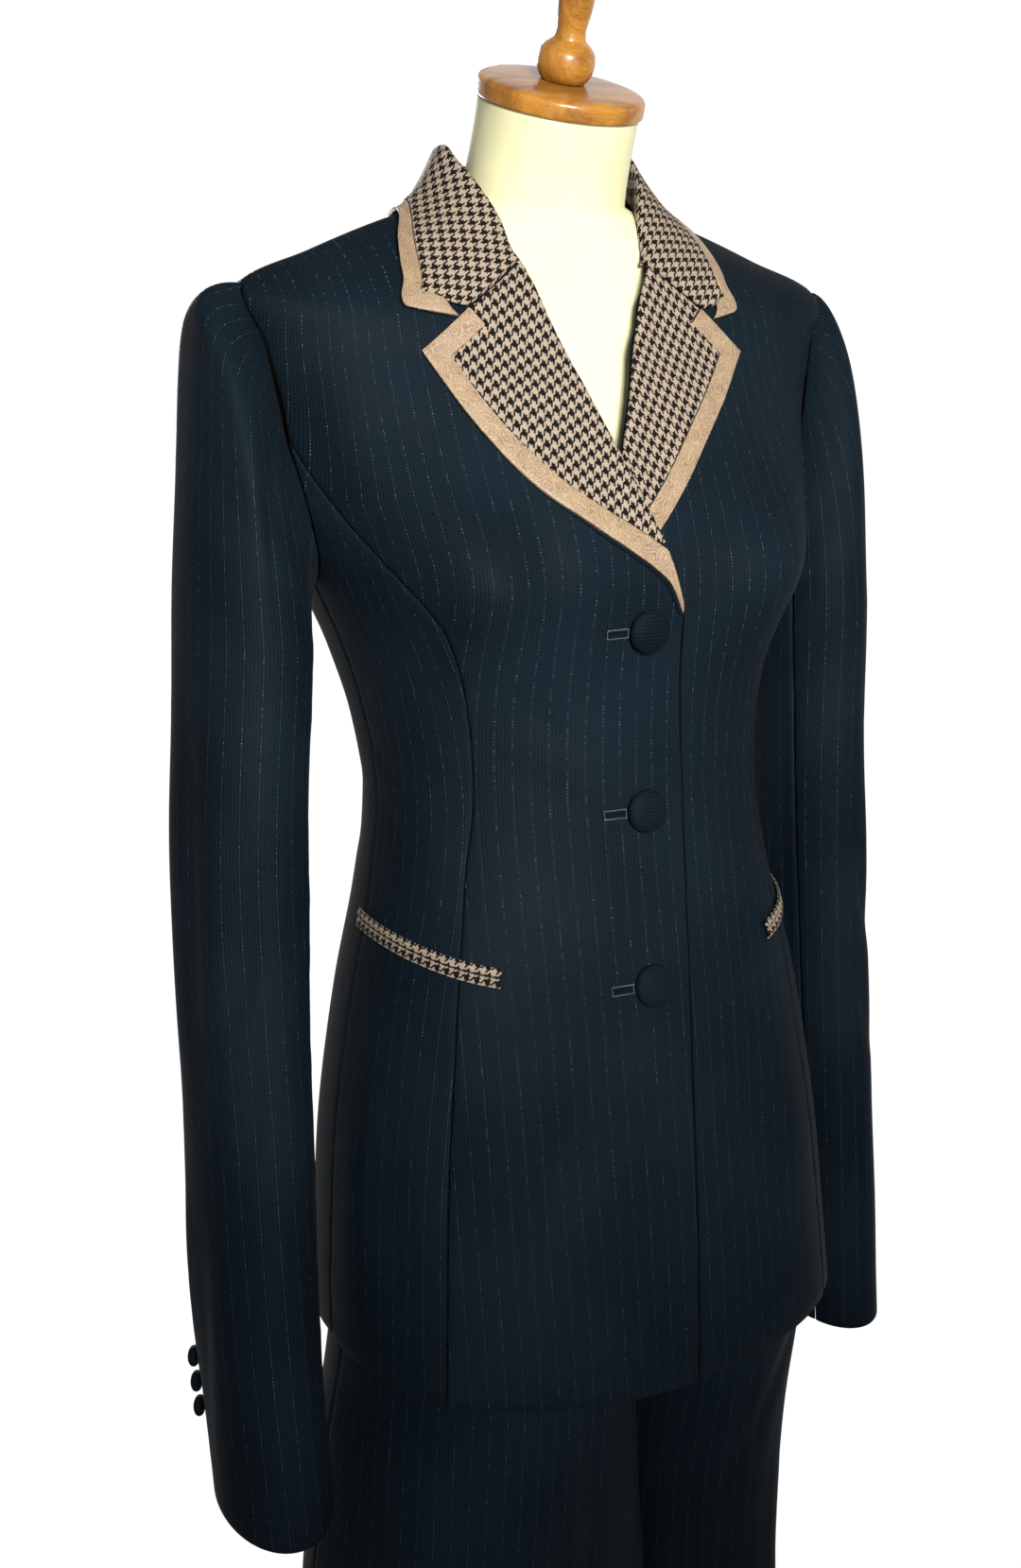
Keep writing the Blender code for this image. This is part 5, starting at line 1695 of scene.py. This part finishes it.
# From the waist down: z, how far the cloth lies under the jacket's surface, and how far it parts into legs
HIP = np.array((
    (1.074, 0.0078, 0.0),
    (1.030, 0.0078, 0.0),
    (0.965, 0.0085, 0.0),
    (0.900, 0.0110, 0.0),
    (0.850, 0.0140, 0.10),
    (0.815, 0.0150, 0.45),
    (0.785, 0.0150, 0.85),
    (0.760, 0.0150, 1.0),
))
# Each leg's rings from the fork down to the hem: z, the centre's x and y, the half widths aside and in front
LEGS = {
    "right": np.array((
        (0.850, -0.068, 0.000, 0.088, 0.104),
        (0.760, -0.072, 0.000, 0.094, 0.102),
        (0.700, -0.080, -0.004, 0.101, 0.102),
        (0.600, -0.091, -0.010, 0.111, 0.100),
        (0.450, -0.097, -0.010, 0.116, 0.104),
        (0.250, -0.099, -0.0045, 0.118, 0.1085),
        (0.036, -0.101, 0.001, 0.120, 0.1132),
    )),
    "left": np.array((
        (0.850, 0.092, 0.000, 0.066, 0.104),
        (0.760, 0.093, 0.005, 0.068, 0.100),
        (0.700, 0.092, 0.018, 0.067, 0.094),
        (0.600, 0.088, 0.030, 0.063, 0.088),
        (0.450, 0.086, 0.034, 0.061, 0.088),
        (0.250, 0.086, 0.030, 0.061, 0.092),
        (0.036, 0.088, 0.025, 0.063, 0.097),
    )),
}
LEG_THICK = 0.0016
HIP_ROWS = 50
LEG_ROWS = 101
LEG_COLUMNS = 56
LEG_TOP = 0.850
HIP_LOW = 0.760
FORK_Z = 0.77
HEM_Z = 0.036
HEM_TURN = 0.032
# The legs' long waves: their depth, where they begin and reach it, and where they start across each panel
FOLD_DEPTH = 0.006
FOLD_TOP = 0.80
FOLD_REACH = 0.25
FOLD_SHIFT = {"front": 0.6, "back": 1.9}
# Folds of the legs, as (share of the panel from inner seam to side seam, height) places, depth, half width
LEG_CREASES = {
    ("right", "front"): (
        (((0.50, 0.80), (0.50, 0.50), (0.50, 0.05)), -0.0022, 0.006),
        (((0.40, 0.78), (0.38, 0.60), (0.40, 0.35)), 0.0030, 0.012),
        (((0.64, 0.76), (0.66, 0.58), (0.64, 0.30)), 0.0028, 0.014),
        (((0.82, 0.74), (0.80, 0.50), (0.82, 0.20)), 0.0024, 0.014),
        (((0.22, 0.72), (0.24, 0.50), (0.22, 0.15)), 0.0022, 0.012),
    ),
    ("left", "front"): (
        (((0.50, 0.80), (0.50, 0.50), (0.50, 0.05)), -0.0022, 0.006),
        (((0.88, 0.80), (0.62, 0.68), (0.36, 0.58)), 0.0026, 0.010),
        (((0.70, 0.74), (0.64, 0.55), (0.66, 0.25)), 0.0026, 0.013),
        (((0.26, 0.72), (0.30, 0.50), (0.28, 0.20)), 0.0022, 0.012),
    ),
    ("right", "back"): (
        (((0.50, 0.78), (0.50, 0.45), (0.50, 0.05)), -0.0022, 0.006),
        (((0.16, 0.80), (0.34, 0.75), (0.60, 0.74)), 0.0030, 0.012),
        (((0.18, 0.76), (0.36, 0.70), (0.58, 0.68)), 0.0024, 0.012),
        (((0.70, 0.72), (0.68, 0.50), (0.72, 0.20)), 0.0024, 0.014),
        (((0.28, 0.62), (0.32, 0.40), (0.30, 0.12)), 0.0024, 0.013),
    ),
    ("left", "back"): (
        (((0.50, 0.78), (0.50, 0.45), (0.50, 0.05)), -0.0022, 0.006),
        (((0.16, 0.80), (0.36, 0.76), (0.60, 0.75)), 0.0028, 0.012),
        (((0.18, 0.75), (0.38, 0.70), (0.60, 0.69)), 0.0024, 0.012),
        (((0.72, 0.70), (0.70, 0.50), (0.72, 0.22)), 0.0022, 0.012),
        (((0.28, 0.60), (0.30, 0.40), (0.28, 0.14)), 0.0022, 0.012),
    ),
}


def leg_at(table, z):
    """The leg's centre and half widths at height z."""
    level = np.interp(-z, -table[:, 0], np.arange(len(table)))
    return rows(table, level)


def inside_body(phi, z, under):
    """Points under the jacket's surface at height z and phi degrees."""
    level = np.interp(z, BODY[:, 2], np.arange(len(BODY)))
    level = np.full(np.shape(phi), level)
    return body(phi, level) - under * body_normal(phi, level)


def leg_row(side, face, z, u):
    """One row of a leg panel at height z, at shares u from the inner seam to the side seam."""
    sign = -1.0 if side == "right" else 1.0
    depth = -1.0 if face == "front" else 1.0
    phi = 90 * u if face == "front" else 180 - 90 * u
    on_hip = np.interp(-z, -HIP[:, 0], np.arange(len(HIP)))
    _, under, split = rows(HIP, on_hip)
    split = np.clip(split, 0, 1)
    hip = inside_body(phi, z, under)
    hip[:, 0] *= sign
    _, centre_x, centre_y, half_x, half_y = leg_at(LEGS[side], min(z, LEG_TOP))
    half = np.radians(180 * u)
    fold = FOLD_DEPTH * np.clip((FOLD_TOP - z) / FOLD_REACH, 0, 1)
    fold = fold * np.sin(half * 3 + FOLD_SHIFT[face]) * np.sin(half)
    leg = np.stack([
        centre_x - sign * (half_x + fold) * np.cos(half),
        centre_y + depth * (half_y + fold) * np.sin(half),
        np.full(len(u), z),
    ], -1)
    return (1 - split) * hip + split * leg


def leg_normals(grid, u):
    """A leg panel's normals. At the seams they lie in the seam's plane, so that two panels meet cleanly."""
    normals = facing_out(grid, grid_normals(grid))
    middle = len(u) // 2
    above = grid[:, 0, 2] > FORK_Z
    edge = normals.copy()
    edge[above, 0, 0] = 0.0
    edge[~above, 0, 1] = 0.0
    edge[:, -1, 1] = 0.0
    near = np.minimum(np.abs(u), np.abs(1 - u))
    hold = smooth_step(near, 0.0, 0.03)[None, :, None]
    seam = np.where(np.arange(len(u)) < middle, 0, len(u) - 1)
    return unit(hold * normals + (1 - hold) * unit(edge[:, seam]))


def add_leg(side, face):
    u = clustered(LEG_COLUMNS)
    hip_heights = np.linspace(HIP[0, 0], HIP_LOW, HIP_ROWS)
    heights = np.concatenate([hip_heights, np.linspace(HIP_LOW, HEM_Z, LEG_ROWS)[1:]])
    grid = np.array([leg_row(side, face, z, u) for z in heights])
    normals = leg_normals(grid, u)
    middle = len(u) // 2
    creases = [
        ([leg_row(side, face, z, np.array((share,)))[0] for share, z in path], depth, width)
        for path, depth, width in LEG_CREASES[side, face]
    ]
    shaped = creased(grid, normals, creases)
    wavy = unevenness(grid, 0.0006) * smooth_step(FOLD_TOP - grid[..., 2], 0, 0.1)
    shaped = shaped - wavy[..., None] * normals
    shaped = seam_relief(shaped, normals, "lr", 3.0 if side == "left" else 5.0)
    shaped = pull_edges(shaped, SEAM / 2, "lr")
    stitched = 0.0006 * bell((grid[..., 2] - HEM_Z - HEM_TURN) / 0.0012)
    shaped = shaped - stitched[..., None] * normals
    across = lengths(grid, 1, middle)
    along = np.broadcast_to(lengths(grid, 0)[:, middle:middle + 1], across.shape)
    uv = np.stack([across, -along], -1)
    piece = cloth_sheet(f"{side}_leg_{face}_cloth", shaped, normals, uv, WOOL, LEG_THICK)
    dress(piece, "suit_wool", f"{side}_leg_{face}")


# The turns, in degrees, of a ring round the waistband or the form
RING_TURNS = np.arange(0, 360, 2.5)
WAIST_HEIGHTS = np.linspace(1.0743, 1.110, 9)
WAIST_UNDER = 0.0074
WAIST_THICK = 0.0024


def add_trousers():
    for side in ("left", "right"):
        for face in ("front", "back"):
            add_leg(side, face)
    rings = np.array([inside_body(RING_TURNS, z, WAIST_UNDER) for z in WAIST_HEIGHTS])
    outwards = unit(rings * np.array((1.0, 1.0, 0.0)))
    uv = np.stack([lengths(rings, 0), ring_lengths(rings)[:, :-1]], -1)
    piece = cloth_tube("waistband_cloth", rings, outwards, uv, WOOL, WAIST_THICK)
    dress(piece, "suit_wool", "waistband")


# Dress form

# How far the form's skin lies inside the jacket's surface at each level: at the sides, in front and behind
TORSO = np.array((
    (2.00, 0.0290, 0.0300, 0.0300),
    (2.25, 0.0240, 0.0240, 0.0240),
    (3.00, 0.0125, 0.0140, 0.0140),
    (4.00, 0.0120, 0.0120, 0.0120),
    (4.60, 0.0110, 0.0110, 0.0110),
    (5.00, 0.0105, 0.0105, 0.0105),
    (5.50, 0.0108, 0.0108, 0.0108),
    (6.00, 0.0125, 0.0120, 0.0120),
    (7.00, 0.0130, 0.0130, 0.0130),
    (8.00, 0.0140, 0.0150, 0.0130),
    (9.00, 0.0150, 0.0150, 0.0130),
    (10.0, 0.0160, 0.0140, 0.0120),
    (11.0, 0.0170, 0.0130, 0.0110),
    (11.6, 0.0160, 0.0120, 0.0100),
    (12.1, 0.0090, 0.0110, 0.0090),
    (12.6, 0.0038, 0.0110, 0.0080),
    (13.2, 0.0029, 0.0100, 0.0070),
    (14.0, 0.0029, 0.0090, 0.0070),
    (14.6, 0.0040, 0.0080, 0.0080),
))
TORSO_BOTTOM = 0.872
# The neck's rings: the centre's y and z, the half widths aside and to the front, and the tilt in degrees
NECK_RINGS = (
    (-0.004, 1.4240, 0.0520, 0.0480, 12.0),
    (-0.010, 1.4370, 0.0490, 0.0470, 18.0),
    (-0.018, 1.4540, 0.0475, 0.0465, 23.0),
    (-0.0262, 1.4705, 0.0468, 0.0468, 25.6),
    (-0.0322, 1.4833, 0.0470, 0.0470, 25.6),
)
# The rings on each side of the join of torso and neck that are smoothed, and how often
NECK_BLEND = 5
BLEND_PASSES = 40
NECK_TILT = np.radians(25.6)
NECK_AXIS = np.array((0.0, -np.sin(NECK_TILT), np.cos(NECK_TILT)))
CAP_CENTRE = np.array((0.0, -0.0325, 1.4836))
CAP_PROFILE = (
    (0.0000, 0.0480), (0.0006, 0.0489), (0.0020, 0.0492), (0.0070, 0.0492), (0.0090, 0.0487),
    (0.0102, 0.0474), (0.0110, 0.0452), (0.0118, 0.0400), (0.0124, 0.0300), (0.0125, 0.0150),
)
FINIAL_PROFILE = (
    (0.0, 0.0125), (0.0020, 0.0142), (0.0050, 0.0158), (0.0095, 0.0168), (0.0155, 0.0160),
    (0.0190, 0.0136), (0.0205, 0.0118), (0.0222, 0.0098), (0.0240, 0.0090), (0.0290, 0.0086),
    (0.0380, 0.0100), (0.0470, 0.0104), (0.0560, 0.0092), (0.0620, 0.0058), (0.0645, 0.0012),
)
# How far the finial stands up the neck's axis from the cap's underside
FINIAL_RISE = 0.0128


def torso_rings():
    turn = np.radians(RING_TURNS)
    side = np.sin(turn) ** 2
    rings = []
    for level, under_side, under_front, under_back in denser(TORSO, 5):
        under = side * under_side + (1 - side) * np.where(np.cos(turn) > 0, under_front, under_back)
        rings.append(body(RING_TURNS, level) - under[:, None] * body_normal(RING_TURNS, level))
    rings[0][:, 2] = TORSO_BOTTOM
    return rings


def neck_rings():
    turn = np.radians(RING_TURNS)
    rings = []
    for centre_y, centre_z, half_x, half_y, tilt in denser(NECK_RINGS, 6):
        lean = np.radians(tilt)
        forward = -half_y * np.cos(turn)
        y = centre_y + forward * np.cos(lean)
        z = centre_z + forward * np.sin(lean)
        rings.append(np.stack([half_x * np.sin(turn), y, z], -1))
    return rings


def add_form():
    low = torso_rings()
    rings = np.array(low + neck_rings())
    near = np.arange(len(low) - NECK_BLEND, len(low) + NECK_BLEND)
    for _ in range(BLEND_PASSES):
        rings[near] = (rings[near - 1] + rings[near + 1]) / 2
    uv = np.stack([ring_lengths(rings)[:, :-1], lengths(rings, 0)], -1)
    torso = dress(stacked("form_torso_cover", rings, uv, JERSEY), "form_jersey", "form_torso")
    cap = turned("form_neck_cap_wood", CAP_CENTRE, NECK_AXIS, CAP_PROFILE, 96, WOOD)
    dress(cap, "form_wood", "form_neck_cap")
    foot = CAP_CENTRE + FINIAL_RISE * NECK_AXIS
    finial = turned("form_finial_wood", foot, NECK_AXIS, FINIAL_PROFILE, 64, WOOD)
    dress(finial, "form_wood", "form_finial")
    for name in ("form_pole", "form_base"):
        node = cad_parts[name]
        node.data.materials.clear()
        node.data.materials.append(METAL)


# Camera, lights and floor

# The camera stands this far from the form's axis and aside of it, at this height, and looks down by its pitch
CAMERA_TURN = np.radians(-27.0)
CAMERA_PITCH = np.radians(9.54)
CAMERA_ROLL = np.radians(-2.51)
CAMERA_AWAY = 1.065
CAMERA_ASIDE = -0.0301
CAMERA_HEIGHT = 1.2625
CAMERA_LENS = 39.30
SENSOR = 36.0


def add_camera():
    sin_t, cos_t = np.sin(CAMERA_TURN), np.cos(CAMERA_TURN)
    sin_p, cos_p = np.sin(CAMERA_PITCH), np.cos(CAMERA_PITCH)
    back = np.array((sin_t * cos_p, -cos_t * cos_p, sin_p))
    right = np.array((cos_t, sin_t, 0.0))
    up = np.cross(back, right)
    place = np.array((sin_t * CAMERA_AWAY, -cos_t * CAMERA_AWAY, CAMERA_HEIGHT)) + CAMERA_ASIDE * right
    rolled_right = right * np.cos(CAMERA_ROLL) + up * np.sin(CAMERA_ROLL)
    rolled_up = up * np.cos(CAMERA_ROLL) - right * np.sin(CAMERA_ROLL)
    data = bpy.data.cameras.new("camera")
    data.sensor_fit = "VERTICAL"
    data.sensor_height = SENSOR
    data.lens = CAMERA_LENS
    data.clip_start = 0.05
    data.clip_end = 60.0
    camera = put("camera", data)
    matrix = Matrix((rolled_right, rolled_up, back)).transposed().to_4x4()
    matrix.translation = Vector(place)
    camera.matrix_world = matrix
    bpy.context.scene.camera = camera


# Soft boxes: place, what they face, width, height, watts, and how far they spread in degrees
LIGHTS = (
    ("key", (-0.42, -1.80, 1.55), (0.0, 0.0, 1.27), 0.6, 0.6, 8.6, 44.0),
    ("side", (-1.9, -0.9, 1.9), (0.0, 0.0, 1.25), 0.8, 1.2, 2.5, 180.0),
    ("other_side", (1.8, -0.4, 1.8), (0.0, 0.0, 1.3), 0.8, 1.1, 3.0, 180.0),
    ("back", (0.45, 1.90, 1.80), (0.0, 0.0, 1.15), 0.9, 0.9, 15.0, 70.0),
)
WORLD_LIGHT = 1.05
WORLD_DIM = (0.30, 0.30, 0.305)
WORLD_WHITE = (1.0, 1.0, 1.0)
# The world is white in this direction, behind the suit, and fades where the cosine to it lies between these
WORLD_FACING = (-np.sin(CAMERA_TURN), np.cos(CAMERA_TURN), -0.1)
WORLD_FADE = (0.25, 0.80)


def add_lights():
    for name, place, target, width, height, watts, spread in LIGHTS:
        data = bpy.data.lights.new(name, "AREA")
        data.shape = "RECTANGLE"
        data.size = width
        data.size_y = height
        data.energy = watts
        data.spread = np.radians(spread)
        lamp = put(name, data)
        lamp.location = place
        lamp.rotation_euler = (Vector(target) - Vector(place)).to_track_quat("-Z", "Y").to_euler()


def add_world():
    """Studio white behind the suit, fading to pale grey all round."""
    world = bpy.data.worlds.new("studio")
    world.use_nodes = True
    nodes = Nodes(world.node_tree)
    sky = world.node_tree.nodes["Background"]
    sky.inputs["Strength"].default_value = WORLD_LIGHT
    behind = nodes.dot(nodes.coordinates("Generated"), WORLD_FACING)
    nodes.join(nodes.mix(nodes.spread(behind, *WORLD_FADE), WORLD_DIM, WORLD_WHITE), sky.inputs["Color"])
    bpy.context.scene.world = world
    bpy.context.scene.view_settings.view_transform = "Standard"


FLOOR_RADIUS = 0.79
FLOOR_POINTS = 160
FLOOR_COLOURS = ((0.80, 0.80, 0.80), (0.83, 0.83, 0.83))


def add_floor():
    turn = circle_turns(FLOOR_POINTS)
    rim = FLOOR_RADIUS * np.stack([np.cos(turn), np.sin(turn), 0 * turn], -1)
    look = Look("floor", 0.85, Specular_IOR_Level=0.2)
    look.colour(look.mix(look.noise(look.coordinates("Object"), 3.0), *FLOOR_COLOURS))
    floor = add_mesh("floor", rim, [tuple(range(FLOOR_POINTS))], None, look.material)


def main():
    add_camera()
    add_jacket_body()
    add_lapels()
    add_lapel_edge()
    add_front_edge_shade()
    add_collar()
    add_welts()
    add_buttons()
    for side in ("left", "right"):
        add_sleeve(side)
    add_cuff_buttons()
    add_trousers()
    add_form()
    add_lights()
    add_world()
    add_floor()


main()
